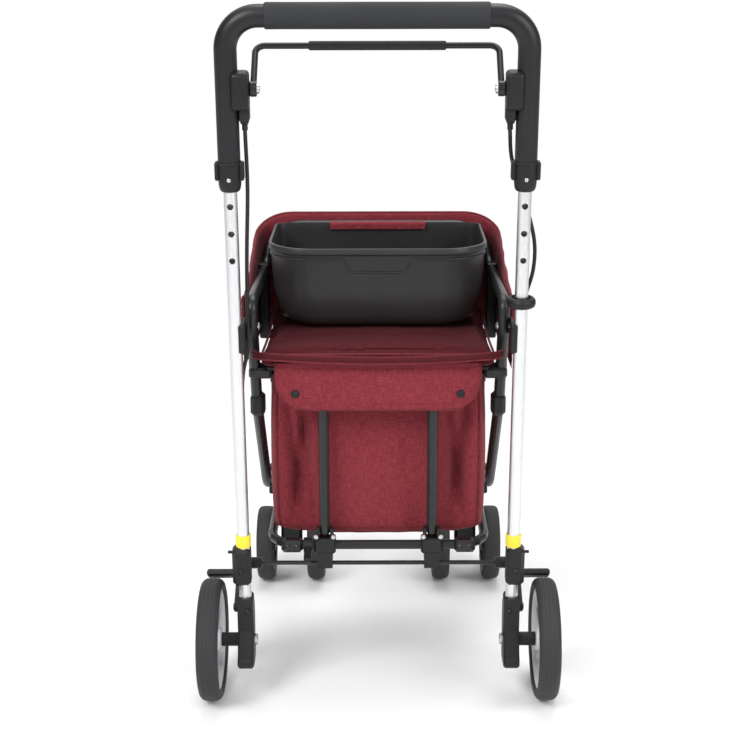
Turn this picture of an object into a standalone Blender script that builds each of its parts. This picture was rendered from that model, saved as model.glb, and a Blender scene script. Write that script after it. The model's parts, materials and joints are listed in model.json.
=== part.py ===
"""Shopping rollator with a folding frame, a hanging bag, a seat and a tray.

Metres, +Z up, +Y is the way it travels, +X is the user's right. The model's origin
is on the floor under the middle of its outer box.
"""

import math

import bmesh
import bpy
from mathutils import Matrix, Vector

# General clearances
GAP = 0.0003
RUNNING = 0.0004

# Facets of the round pieces
LEG_SIDES = 12
WHEEL_STEPS = 28

# Wheels and wheelbase
REAR_WHEEL_D = 0.168
REAR_TYRE_W = 0.030
REAR_WHEEL_OFFSET = 0.0478
CASTER_WHEEL_D = 0.120
CASTER_WHEEL_W = 0.028
CASTER_TWIN_HALF = 0.041
CASTER_TRAIL = 0.026
CASTER_BODY_W = 0.034
CASTER_STEM_R = 0.0055
CASTER_AXLE_R = 0.004
WHEELBASE = 0.404
AXLE_R = 0.005
REAR_TYRE_DEPTH = 0.0145
HUB_R = 0.0165
SPOKES = 5
SPOKE_HALF_DEG = 9.0
WHEEL_BRACKET_W = 0.022

# Rear brakes
BRAKE_ARM_Y = 0.0125
BRAKE_ARM_Z = 0.0440
BRAKE_ARM_T = 0.0055
BRAKE_PIN_R = 0.0028
PAD_ANGLE_DEG = 48.0
PAD_GAP = 0.0040
PAD_T = 0.0100

# Rear legs, in a frame that leans back from the rear axle
LEG_SPACING = 0.366
LEG_LEAN_DEG = 4.5
LEG_D = 0.017
LEG_WALL = 0.0015
LEG_FOOT = 0.045
LEG_TOP = 0.696
HOLE_D = 0.008
HOLE_PITCH = 0.035
SPARE_HOLES = 3

# Handle, along the legs
UPRIGHT_D = 0.028
UPRIGHT_WALL = 0.0025
HANDLE_TOP = 0.851
HANDLE_CORNER_R = 0.040
GRIP_D = 0.032
GRIP_LENGTH = 0.270
COLLAR_TOP = 0.6712
COLLAR_FLARE_D = 0.037
COLLAR_LENGTH = 0.0332
COLLAR_CUP = 0.005
BUSH_LENGTH = 0.028
BUTTON_STANDS_OUT = 0.0055

# Brake controls, along the legs
BRAKE_PIVOT_Y = 0.005
BRAKE_PIVOT_Z = 0.763
BRAKE_BAR_Y = 0.0585
BRAKE_BAR_Z = 0.807
BRAKE_BAR_D = 0.008
BRAKE_SLEEVE_D = 0.0115
BRAKE_SLEEVE_LENGTH = 0.170
BRAKE_ARM_INSET = 0.032
BRAKE_PIVOT_R = 0.003
EYE_HALF = 0.0042
HOUSING_D = 0.034
BAND_WALL = 0.0048
CABLE_BOX_OFFSET = 0.0113
CABLE_BOX_HEIGHT = 0.036
CABLE_D = 0.005
CABLE_END_Y = 0.0125

# Leg fittings, along the legs
BRACKET_Z = 0.088
BRACKET_HEIGHT = 0.0565
BRACKET_D = 0.025
BRACKET_INNER_WALL = 0.0008
LUG_R = 0.008
YELLOW_HEIGHT = 0.018
YELLOW_D = 0.021
RING_HEIGHT = 0.031
RING_D = 0.0374
HINGE_CLAMP_HEIGHT = 0.040
HINGE_CLAMP_WALL = 0.004
HINGE_PLATE_T = 0.004
EAR_GAP = 0.0006
ROD_D = 0.006
ROD_Y = 0.020
ROD_Z = 0.190

# Front frame, upright in the frame of the rear axle
SIDE_INSET = 0.0178
SIDE_TUBE_D = 0.015
FOLD_PIN_D = 0.006
FOLD_PIVOT_Y = 0.0124
FOLD_PIVOT_Z = 0.530
KNEE_Y = 0.000
KNEE_Z = 0.565
KNUCKLE_Y = 0.055
KNUCKLE_Z = 0.410
ARM_FRONT_Y = 0.262
ARM_FRONT_Z = 0.557
HOOP_Y = 0.295
HOOP_Z = 0.612
HOOP_CORNER_R = 0.050
LEG_BEND_Y = 0.200
LEG_BEND_Z = 0.240
CROSS_Y = 0.400
CROSS_Z = 0.186

# Bag carrier
BASE_TUBE_D = 0.013
BASE_PIVOT_Y = 0.285
BASE_Z = 0.217
BASE_REAR_Y = 0.020
BASE_CORNER_R = 0.040
STAY_D = 0.014
STAY_X = 0.0735
STAY_TOP = 0.432
STAY_PIVOT_RISE = 0.020
STAY_PIN_R = 0.0022
EAR_T = 0.0035
CLEVIS_W = 0.030
BASE_BOLT_R = 0.003
LEVER_X = 0.097

# Seat and bag rail
BAG_RAIL_D = 0.012
BAG_RAIL_Z = 0.462
BAG_RAIL_REAR_Y = 0.045
RAIL_FRONT_Y = 0.285
SEAT_BOARD_T = 0.006
SEAT_REAR_Y = 0.005
SEAT_FRONT_Y = 0.276
SEAT_PAD_H = 0.019
SEAT_CROWN = 0.007

# Bag
BAG_REAR_Y = 0.036
BAG_FRONT_Y = 0.300
BAG_CORNER_R = 0.030
BAG_BOTTOM_Z = 0.2265
BAG_TOP_Z = 0.4525
FLAP_HEIGHT = 0.065
FLAP_T = 0.004
FLAP_Y = 0.004
FLAP_CORNER_R = 0.042
STUD_RISE = 0.0225
STUD_R = 0.0055

# Backrest hood
HOOD_WALL = 0.0065
HOOD_REAR_Y = 0.050
HOOD_FRONT_Y = 0.311
HOOD_CORNER_R = 0.055
HOOD_BOTTOM_Z = 0.460
HOOD_REAR_TOP_Z = 0.562
HOOD_FRONT_TOP_Z = 0.628
HOOD_SWEEP = 1.9

# Tray
TRAY_REAR_Y = 0.083
TRAY_FRONT_Y = 0.281
TRAY_RIM_Z = 0.6185
TRAY_BOTTOM_Z = 0.506
TRAY_WALL = 0.003
TRAY_TAPER = 0.010
TRAY_NEAR_R = 0.062
TRAY_FAR_R = 0.016
STRAP_HALF_W = 0.070
STRAP_T = 0.002

# Places that follow from the sizes above
REAR_WHEEL_R = REAR_WHEEL_D / 2
CASTER_WHEEL_R = CASTER_WHEEL_D / 2
LEG_R = LEG_D / 2
LEG_X = LEG_SPACING / 2
WHEEL_X = LEG_X + REAR_WHEEL_OFFSET
SIDE_R = SIDE_TUBE_D / 2
SIDE_X = LEG_X - SIDE_INSET
BASE_R = BASE_TUBE_D / 2
BASE_X = SIDE_X - SIDE_R - BASE_R - 0.003
RAIL_R = BAG_RAIL_D / 2
RAIL_X = BASE_X + 0.0015
CASTER_STEM_Y = WHEELBASE + CASTER_TRAIL
CASTER_X = LEG_X - 0.040
CORNER_BRACKET_X = BASE_X - 0.0302
SEAT_HALF_W = SIDE_X - 0.0077
HOOD_HALF_W = SIDE_X + 0.0158
TRAY_HALF_W = SIDE_X - 0.0142
BAG_HALF_W = RAIL_X - 0.0017
FLAP_HALF_W = BAG_HALF_W - 0.0115
FLAP_TOP_Z = BAG_RAIL_Z + 0.016
STUD_X = FLAP_HALF_W - 0.0265
RING_Z = FOLD_PIVOT_Z - 0.0366
HUB_INNER_X = WHEEL_X - REAR_TYRE_W / 2 + 0.002
BRAKE_ARM_X = LEG_X + WHEEL_BRACKET_W / 2 + BRAKE_ARM_T / 2 + RUNNING
HOUSING_LOW = CASTER_WHEEL_D + 0.034
HOUSING_HIGH = CROSS_Z + SIDE_R + 0.0065
LENGTH_SHIFT = -(WHEELBASE + CASTER_WHEEL_R - REAR_WHEEL_R) / 2
ROD_END = LEG_X - LEG_R - 0.0025
LEAN = math.radians(LEG_LEAN_DEG)
BUTTON_Z = COLLAR_TOP - COLLAR_LENGTH / 2 - 0.0006

# Colours of the finishes: colour, roughness, metallic
ALUMINIUM = ((0.80, 0.81, 0.82), 0.32, 1.0)
BLACK_PAINT = ((0.020, 0.020, 0.022), 0.35, 0.0)
BLACK_PLASTIC = ((0.018, 0.018, 0.020), 0.50, 0.0)
FOAM = ((0.035, 0.035, 0.038), 0.80, 0.0)
RUBBER = ((0.045, 0.045, 0.047), 0.75, 0.0)
RIM_GREY = ((0.62, 0.63, 0.65), 0.40, 0.0)
STEEL = ((0.70, 0.70, 0.72), 0.28, 1.0)
YELLOW = ((0.95, 0.80, 0.03), 0.45, 0.0)
RED_FABRIC = ((0.22, 0.030, 0.040), 0.90, 0.0)
TRAY_GREY = ((0.040, 0.038, 0.039), 0.42, 0.0)


def clear_scene():
    """Remove everything that the start-up file holds."""
    for item in list(bpy.data.objects):
        bpy.data.objects.remove(item, do_unlink=True)


def material(name, finish):
    """Return the Principled material of this name, made once."""
    found = bpy.data.materials.get(name)
    if found:
        return found
    colour, roughness, metallic = finish
    made = bpy.data.materials.new(name)
    made.use_nodes = True
    shader = made.node_tree.nodes["Principled BSDF"]
    shader.inputs["Base Color"].default_value = (*colour, 1.0)
    shader.inputs["Roughness"].default_value = roughness
    shader.inputs["Metallic"].default_value = metallic
    return made


def empty(name, parent=None, place=(0, 0, 0), lean=0.0):
    """Add an empty that carries other objects."""
    made = bpy.data.objects.new(name, None)
    bpy.context.scene.collection.objects.link(made)
    made.parent = parent
    made.location = place
    made.rotation_euler.x = lean
    return made


def finish(name, bm, finish_name, look, parent, origin=(0, 0, 0)):
    """Turn a bmesh that was drawn in its parent's frame into a named object."""
    bmesh.ops.recalc_face_normals(bm, faces=bm.faces[:])
    bmesh.ops.translate(bm, vec=-Vector(origin), verts=bm.verts[:])
    mesh = bpy.data.meshes.new(name)
    bm.to_mesh(mesh)
    bm.free()
    mesh.shade_smooth()
    mesh.set_sharp_from_angle(angle=math.radians(35))
    made = bpy.data.objects.new(name, mesh)
    made.data.materials.append(material(finish_name, look))
    made.parent = parent
    made.location = origin
    bpy.context.scene.collection.objects.link(made)
    return made


def helper(target, bm, operation):
    """Join a shape to the target or cut it out, with a hidden operand."""
    operand = finish(target.name + "_" + operation.lower() + "_tool", bm, "tool", BLACK_PLASTIC,
                     target.parent)
    operand.hide_render = True
    operand.display_type = "WIRE"
    step = target.modifiers.new(operation.title(), "BOOLEAN")
    step.operation = operation
    step.solver = "EXACT"
    step.object = operand
    return operand


def cut(target, bm):
    """Cut a closed shape out of the target."""
    return helper(target, bm, "DIFFERENCE")


def unite(target, bm):
    """Join a closed shape to the target."""
    return helper(target, bm, "UNION")


def mirror_copy(bm):
    """Add the mirror image across the middle plane to a bmesh."""
    copy = bmesh.ops.duplicate(bm, geom=bm.verts[:] + bm.edges[:] + bm.faces[:])["geom"]
    verts = [item for item in copy if isinstance(item, bmesh.types.BMVert)]
    faces = [item for item in copy if isinstance(item, bmesh.types.BMFace)]
    bmesh.ops.scale(bm, vec=(-1, 1, 1), verts=verts)
    bmesh.ops.reverse_faces(bm, faces=faces)
    return bm


def sided(bm, side):
    """Flip a shape that is drawn on the right when it belongs on the left."""
    if side < 0:
        bmesh.ops.scale(bm, vec=(-1, 1, 1), verts=bm.verts[:])
        bmesh.ops.reverse_faces(bm, faces=bm.faces[:])
    return bm


def block(size, centre, bevel=0.0, segments=1):
    """Return a box with its edges rounded."""
    bm = bmesh.new()
    bmesh.ops.create_cube(bm, size=1.0)
    bmesh.ops.scale(bm, vec=size, verts=bm.verts[:])
    if bevel > 0.0:
        bmesh.ops.bevel(bm, geom=bm.edges[:], offset=bevel, offset_type="OFFSET", affect="EDGES",
                        segments=segments, profile=0.5, material=-1, clamp_overlap=True)
    bmesh.ops.translate(bm, vec=centre, verts=bm.verts[:])
    return bm


def rod(radius, start, end, sides=12):
    """Return a solid cylinder between two points."""
    return swept([start, end], radius, sides)


def turned(profile, centre, axis="Z", steps=24):
    """Spin a closed outline of (radius, height) points into a ring or a disc."""
    bm = bmesh.new()
    ring = [bm.verts.new((radius, 0, height)) for radius, height in profile]
    edges = [bm.edges.new((ring[i], ring[(i + 1) % len(ring)])) for i in range(len(ring))]
    bmesh.ops.spin(bm, geom=ring + edges, cent=(0, 0, 0), axis=(0, 0, 1), angle=2 * math.pi,
                   steps=steps, use_merge=True)
    bmesh.ops.remove_doubles(bm, verts=bm.verts[:], dist=1e-6)
    if axis == "X":
        bmesh.ops.rotate(bm, matrix=Matrix.Rotation(math.pi / 2, 3, "Y"), verts=bm.verts[:])
    if axis == "Y":
        bmesh.ops.rotate(bm, matrix=Matrix.Rotation(-math.pi / 2, 3, "X"), verts=bm.verts[:])
    bmesh.ops.translate(bm, vec=centre, verts=bm.verts[:])
    return bm


def turned_solid(profile, centre, axis, steps):
    """Spin an open outline whose ends lie on the axis into one closed solid."""
    bm = bmesh.new()
    chain = [(0.0, profile[0][1])] + list(profile[1:-1]) + [(0.0, profile[-1][1])]
    ring = [bm.verts.new((radius, 0, height)) for radius, height in chain]
    edges = [bm.edges.new((first, second)) for first, second in zip(ring, ring[1:])]
    bmesh.ops.spin(bm, geom=ring + edges, cent=(0, 0, 0), axis=(0, 0, 1), angle=2 * math.pi,
                   steps=steps, use_merge=True)
    bmesh.ops.remove_doubles(bm, verts=bm.verts[:], dist=1e-6)
    if axis == "X":
        bmesh.ops.rotate(bm, matrix=Matrix.Rotation(math.pi / 2, 3, "Y"), verts=bm.verts[:])
    if axis == "Y":
        bmesh.ops.rotate(bm, matrix=Matrix.Rotation(-math.pi / 2, 3, "X"), verts=bm.verts[:])
    bmesh.ops.translate(bm, vec=centre, verts=bm.verts[:])
    return bm


def plate(outline, thickness, centre_x, bevel=0.0):
    """Extrude a (y, z) outline along X, centred on centre_x."""
    bm = bmesh.new()
    ring = [bm.verts.new((centre_x - thickness / 2, y, z)) for y, z in outline]
    face = bm.faces.new(ring)
    grown = bmesh.ops.extrude_face_region(bm, geom=[face])["geom"]
    moved = [item for item in grown if isinstance(item, bmesh.types.BMVert)]
    bmesh.ops.translate(bm, vec=(thickness, 0, 0), verts=moved)
    if bevel > 0.0:
        rims = [edge for edge in bm.edges if abs(edge.verts[0].co.x - edge.verts[1].co.x) < 1e-7]
        bmesh.ops.bevel(bm, geom=rims, offset=bevel, offset_type="OFFSET", affect="EDGES",
                        segments=1, profile=0.5, material=-1, clamp_overlap=True)
    return bm


def arc(centre, radius, first, last, count):
    """Return points on an arc in a plane, angles in degrees."""
    points = []
    for step in range(count):
        angle = math.radians(first + (last - first) * step / (count - 1))
        points.append((centre[0] + radius * math.cos(angle), centre[1] + radius * math.sin(angle)))
    return points


def rounded_path(corners, radii, step_deg=18.0):
    """Return a path through corner points, each inner corner rounded by an arc."""
    corners = [Vector(corner) for corner in corners]
    path = [corners[0]]
    for index in range(1, len(corners) - 1):
        here = corners[index]
        back = (corners[index - 1] - here).normalized()
        ahead = (corners[index + 1] - here).normalized()
        half = back.angle(ahead) / 2
        reach = radii[index - 1] / math.tan(half)
        centre = here + (back + ahead).normalized() * (radii[index - 1] / math.sin(half))
        first = here + back * reach - centre
        last = here + ahead * reach - centre
        sweep = first.angle(last)
        steps = max(2, round(math.degrees(sweep) / step_deg))
        for step in range(steps + 1):
            part = step / steps
            mixed = (first * math.sin((1 - part) * sweep) + last * math.sin(part * sweep))
            path.append(centre + mixed / math.sin(sweep))
    path.append(corners[-1])
    return path


def swept(path, radius, sides=12, bore=0.0):
    """Sweep a round bar, or a tube with open ends, along a path of points."""
    bm = bmesh.new()
    path = [Vector(point) for point in path]
    tangents = []
    for index in range(len(path)):
        before = path[max(index - 1, 0)]
        after = path[min(index + 1, len(path) - 1)]
        if 0 < index < len(path) - 1:
            ahead = (after - path[index]).normalized() + (path[index] - before).normalized()
        else:
            ahead = after - before
        tangents.append(ahead.normalized())
    side = Vector((0, 0, 1)) if abs(tangents[0].x) > 0.9 else Vector((1, 0, 0))
    side = (side - tangents[0] * side.dot(tangents[0])).normalized()
    outer = []
    inner = []
    for index, point in enumerate(path):
        if index:
            turn = tangents[index - 1].rotation_difference(tangents[index])
            side = (turn @ side).normalized()
        up = tangents[index].cross(side)
        spokes = []
        for step in range(sides):
            angle = 2 * math.pi * step / sides
            spokes.append(side * math.cos(angle) + up * math.sin(angle))
        outer.append([bm.verts.new(point + spoke * radius) for spoke in spokes])
        if bore > 0.0:
            inner.append([bm.verts.new(point + spoke * bore) for spoke in spokes])
    for shells in (outer, inner):
        for first, second in zip(shells, shells[1:]):
            for step in range(sides):
                after = (step + 1) % sides
                bm.faces.new((first[step], first[after], second[after], second[step]))
    if bore > 0.0:
        for end in (0, -1):
            for step in range(sides):
                after = (step + 1) % sides
                bm.faces.new((outer[end][step], outer[end][after], inner[end][after],
                              inner[end][step]))
    else:
        bm.faces.new(outer[0])
        bm.faces.new(outer[-1])
    return bm


def joined(*shapes):
    """Put the faces of several bmeshes into the first one, as separate solids."""
    first = shapes[0]
    for shape in shapes[1:]:
        mesh = bpy.data.meshes.new("part_of_a_group")
        shape.to_mesh(mesh)
        shape.free()
        first.from_mesh(mesh)
        bpy.data.meshes.remove(mesh)
    return first


def along_leg(y, z):
    """Turn a place in the upright frame into (y, z) along the leaning leg."""
    rise = z - REAR_WHEEL_R
    return (y * math.cos(LEAN) + rise * math.sin(LEAN), rise * math.cos(LEAN) - y * math.sin(LEAN))


def side_name(side):
    """Name a side: +1 is the user's right."""
    return "right" if side > 0 else "left"


# Rear frame


def leg(side, legs):
    """Aluminium leg: an open tube with a row of holes in its rear wall."""
    path = [(side * LEG_X, 0, LEG_FOOT), (side * LEG_X, 0, LEG_TOP)]
    bm = swept(path, LEG_R, LEG_SIDES, bore=LEG_R - LEG_WALL)
    tube = finish("leg_" + side_name(side), bm, "aluminium", ALUMINIUM, legs)
    holes = []
    for index in range(SPARE_HOLES + 1):
        height = BUTTON_Z - index * HOLE_PITCH
        start = (side * LEG_X, -LEG_R - 0.002, height)
        end = (side * LEG_X, -LEG_R + LEG_WALL + 0.002, height)
        holes.append(rod(HOLE_D / 2 + RUNNING, start, end, 12))
    cut(tube, joined(*holes))


def leg_bore(side, lower, upper):
    """Return the cutter that lets a leg through a fitting."""
    return rod(LEG_R + GAP, (side * LEG_X, 0, lower), (side * LEG_X, 0, upper), LEG_SIDES)


def hinge_plate(side, legs):
    """Clamp on a leg, with the ear and the pin that the front frame folds on."""
    pivot_y, pivot_z = along_leg(FOLD_PIVOT_Y, FOLD_PIVOT_Z)
    low = pivot_z - HINGE_CLAMP_HEIGHT / 2
    clamp_w = LEG_D + 2 * HINGE_CLAMP_WALL
    bm = block((clamp_w, clamp_w, HINGE_CLAMP_HEIGHT), (LEG_X, 0, pivot_z), 0.004)
    made = finish("hinge_plate_" + side_name(side), sided(bm, side), "black_plastic", BLACK_PLASTIC, legs)
    ear_in = SIDE_X + SIDE_R + EAR_GAP
    ear_x = ear_in + HINGE_PLATE_T / 2
    outline = [(0.0, pivot_z + 0.014), (0.0, pivot_z - 0.014)]
    outline += arc((pivot_y, pivot_z), 0.012, -90, 90, 7)
    unite(made, sided(plate(outline, HINGE_PLATE_T, ear_x, 0.0008), side))
    cut(made, leg_bore(side, low - 0.01, low + HINGE_CLAMP_HEIGHT + 0.01))
    radius = FOLD_PIN_D / 2
    inner = SIDE_X - SIDE_R - GAP
    outer = ear_in + HINGE_PLATE_T
    profile = [(0.0, inner - 0.0030), (0.0035, inner - 0.0025), (0.0052, inner - 0.0008),
               (0.0052, inner), (radius, inner), (radius, outer - 0.001), (0.0052, outer - 0.001),
               (0.0052, outer + 0.0008), (0.0035, outer + 0.0022), (0.0, outer + 0.0026)]
    unite(made, sided(turned_solid(profile, (0, pivot_y, pivot_z), "X", 12), side))


def bolt_head(place, radius, height):
    """Return a domed bolt head that faces the rear, sunk a little into what it holds."""
    profile = [(0.0, -0.001), (radius, -0.001), (radius, height * 0.5), (radius * 0.6, height),
               (0.0, height)]
    bm = turned_solid(profile, (0, 0, 0), "Y", 8)
    lowest = min(vert.co.y for vert in bm.verts)
    if abs(lowest) < height * 0.9:
        bmesh.ops.scale(bm, vec=(1, -1, 1), verts=bm.verts[:])
        bmesh.ops.reverse_faces(bm, faces=bm.faces[:])
    bmesh.ops.translate(bm, vec=place, verts=bm.verts[:])
    return bm


def leg_bracket(side, legs):
    """Sleeve low on a leg, with the lug that holds the cross rod."""
    middle = BRACKET_Z + BRACKET_HEIGHT / 2
    sleeve_x = LEG_X - LEG_R - GAP - BRACKET_INNER_WALL + BRACKET_D / 2
    bm = block((BRACKET_D, BRACKET_D, BRACKET_HEIGHT), (sleeve_x, 0, middle), 0.005)
    name = "leg_bracket_" + side_name(side)
    made = finish(name, sided(bm, side), "black_plastic", BLACK_PLASTIC, legs)
    rod_y, rod_z = along_leg(ROD_Y, ROD_Z)
    lug_in = ROD_END - 0.011
    unite(made, sided(rod(LUG_R, (lug_in, rod_y, rod_z), (sleeve_x, rod_y, rod_z), 12), side))
    web_rear = BRACKET_D / 2 - 0.003
    web_size = (BRACKET_D / 2 + 0.002, rod_y - web_rear, 2 * LUG_R - 0.002)
    web_place = (sleeve_x - 0.001, (rod_y + web_rear) / 2, rod_z)
    unite(made, sided(block(web_size, web_place, 0.001), side))
    cut(made, leg_bore(side, BRACKET_Z - 0.01, middle + BRACKET_HEIGHT))
    hole = rod(ROD_D / 2 + GAP, (lug_in - 0.002, rod_y, rod_z), (ROD_END + GAP, rod_y, rod_z), 12)
    cut(made, sided(hole, side))
    place = (sleeve_x, -BRACKET_D / 2, BRACKET_Z + 0.024)
    unite(made, sided(bolt_head(place, 0.004, 0.003), side))
    adjuster_z = BRACKET_Z + BRACKET_HEIGHT - 0.009
    start = (sleeve_x + BRACKET_D / 2 - 0.001, 0, adjuster_z)
    end = (sleeve_x + BRACKET_D / 2 + 0.006, 0, adjuster_z)
    unite(made, sided(rod(0.0022, start, end, 8), side))


def cross_rod(legs):
    """Rod between the leg brackets, which the bag carrier hooks over."""
    rod_y, rod_z = along_leg(ROD_Y, ROD_Z)
    bar = rod(ROD_D / 2, (-ROD_END, rod_y, rod_z), (ROD_END, rod_y, rod_z), 12)
    finish("cross_rod", bar, "black_paint", BLACK_PAINT, legs)


def cam_outline(radius, nose, nose_radius, count=20):
    """Return a circle of points with a round nose towards +Y."""
    points = []
    for step in range(count):
        angle = 2 * math.pi * step / count
        reach = radius
        across = nose * abs(math.sin(angle - math.pi / 2))
        if across < nose_radius and math.sin(angle) > 0:
            far = nose * math.cos(angle - math.pi / 2)
            reach = max(radius, far + math.sqrt(nose_radius ** 2 - across ** 2))
        points.append((reach * math.cos(angle), reach * math.sin(angle)))
    return points


def drawn_up(outline, low, high, bevel=0.0, segments=1):
    """Extrude an (x, y) outline upwards, with its upper and lower edges rounded."""
    bm = bmesh.new()
    face = bm.faces.new([bm.verts.new((x, y, low)) for x, y in outline])
    grown = bmesh.ops.extrude_face_region(bm, geom=[face])["geom"]
    moved = [item for item in grown if isinstance(item, bmesh.types.BMVert)]
    bmesh.ops.translate(bm, vec=(0, 0, high - low), verts=moved)
    if bevel > 0.0:
        rims = [edge for edge in bm.edges if abs(edge.verts[0].co.z - edge.verts[1].co.z) < 1e-7]
        bmesh.ops.bevel(bm, geom=rims, offset=bevel, offset_type="OFFSET", affect="EDGES",
                        segments=segments, profile=0.5, material=-1, clamp_overlap=True)
    return bm


def cable_collar(side, legs):
    """Yellow collar that holds the end of a brake cable."""
    low = BRACKET_Z + BRACKET_HEIGHT + GAP
    outline = [(LEG_X + x, y) for x, y in cam_outline(YELLOW_D / 2, CABLE_END_Y, 0.005)]
    bm = drawn_up(outline, low, low + YELLOW_HEIGHT, 0.0012)
    name = "cable_collar_" + side_name(side)
    made = finish(name, sided(bm, side), "yellow_plastic", YELLOW, legs)
    cut(made, leg_bore(side, low - 0.01, low + YELLOW_HEIGHT + 0.01))


def cable_ring(legs):
    """Rounded ring on the right leg that guides the cable past the arm rail."""
    half = RING_HEIGHT / 2
    outer = RING_D / 2
    inner = LEG_R + GAP
    profile = [(inner, RING_Z - half), (outer - 0.006, RING_Z - half), (outer - 0.001, RING_Z - half * 0.5),
               (outer, RING_Z), (outer - 0.001, RING_Z + half * 0.5), (outer - 0.006, RING_Z + half),
               (inner, RING_Z + half)]
    bm = turned(profile, (LEG_X, 0, 0), "Z", LEG_SIDES)
    finish("cable_ring", bm, "black_plastic", BLACK_PLASTIC, legs)


def wheel_bracket(side, legs):
    """Moulded bracket under a leg: socket, axle boss, tip pedal and the brake arm's pin."""
    outline = [(-0.0125, 0.068), (-0.0125, 0.020)]
    outline += arc((-0.026, -0.020), 0.010, 110, 250, 7)
    outline += [(-0.012, -0.032)]
    outline += arc((0.000, -0.020), 0.012, 270, 350, 4)
    outline += [(0.0135, 0.005), (0.0195, 0.030), (0.0195, 0.052), (0.0125, 0.060), (0.0125, 0.068)]
    bm = plate(outline, WHEEL_BRACKET_W, LEG_X, 0.0025)
    name = "wheel_bracket_" + side_name(side)
    made = finish(name, sided(bm, side), "black_plastic", BLACK_PLASTIC, legs)
    boss = rod(0.0095, (LEG_X + 0.005, 0, 0), (HUB_INNER_X - RUNNING, 0, 0), 12)
    unite(made, sided(boss, side))
    cut(made, leg_bore(side, LEG_FOOT - GAP, 0.08))
    hole = rod(AXLE_R + GAP, (LEG_X - 0.02, 0, 0), (HUB_INNER_X + 0.01, 0, 0), 12)
    cut(made, sided(hole, side))
    unite(made, sided(bolt_head((LEG_X - 0.004, -0.0125, 0.050), 0.004, 0.003), side))
    start = LEG_X + WHEEL_BRACKET_W / 2 - 0.002
    outer = BRAKE_ARM_X + BRAKE_ARM_T / 2 + GAP
    profile = [(0.0, start), (BRAKE_PIN_R, start), (BRAKE_PIN_R, outer), (BRAKE_PIN_R + 0.0020, outer),
               (BRAKE_PIN_R + 0.0020, outer + 0.0010), (0.0, outer + 0.0016)]
    unite(made, sided(turned_solid(profile, (0, BRAKE_ARM_Y, BRAKE_ARM_Z), "X", 12), side))


def rear_axle(side, legs):
    """Axle of a rear wheel, with a head inside and a cap outside."""
    inner = LEG_X - WHEEL_BRACKET_W / 2 - GAP
    cap = WHEEL_X + REAR_TYRE_W / 2 - 0.0016
    profile = [(0.0, inner - 0.004), (0.007, inner - 0.004), (0.008, inner - 0.003), (0.008, inner),
               (AXLE_R, inner), (AXLE_R, cap), (0.008, cap), (0.008, cap + 0.0008), (0.0, cap + 0.0014)]
    bm = sided(turned_solid(profile, (0, 0, 0), "X", 12), side)
    finish("rear_axle_" + side_name(side), bm, "steel", STEEL, legs)


# Rear wheels and brakes


def rear_wheel(side, floor):
    """Tyre and spoked rim of one rear wheel; the rim's hub holds the bearing sleeves."""
    centre = (side * WHEEL_X, 0, REAR_WHEEL_R)
    half = REAR_TYRE_W / 2
    outer = REAR_WHEEL_R
    inner = outer - REAR_TYRE_DEPTH
    profile = [(inner, -half + 0.003), (outer - 0.007, -half), (outer - 0.0025, -half + 0.003),
               (outer, -half + 0.008), (outer, half - 0.008), (outer - 0.0025, half - 0.003),
               (outer - 0.007, half), (inner, half - 0.003)]
    bm = turned(profile, centre, "X", WHEEL_STEPS)
    finish("rear_tyre_" + side_name(side), bm, "rubber", RUBBER, floor, centre)
    seat = inner - GAP
    hub_half = half - 0.002
    web = 0.004
    profile = [(AXLE_R + RUNNING, -hub_half), (HUB_R, -hub_half), (HUB_R + 0.003, -web), (seat - 0.008, -web),
               (seat - 0.006, -half + 0.004), (seat, -half + 0.004), (seat, half - 0.004),
               (seat - 0.006, half - 0.004), (seat - 0.008, web), (HUB_R + 0.003, web),
               (HUB_R, hub_half), (AXLE_R + RUNNING, hub_half)]
    rim = finish("rear_rim_" + side_name(side), turned(profile, centre, "X", WHEEL_STEPS), "rim_plastic",
                 RIM_GREY, floor, centre)
    windows = []
    for index in range(SPOKES):
        middle = 360.0 * index / SPOKES
        first = middle - 180.0 / SPOKES + SPOKE_HALF_DEG
        last = middle + 180.0 / SPOKES - SPOKE_HALF_DEG
        shape = arc((0, 0), seat - 0.0125, first, last, 5) + arc((0, 0), HUB_R + 0.008, last, first, 2)
        windows.append(plate(shape, REAR_TYRE_W * 1.4, side * WHEEL_X))
    windows = joined(*windows)
    bmesh.ops.translate(windows, vec=(0, 0, REAR_WHEEL_R), verts=windows.verts[:])
    cut(rim, windows)


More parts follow.
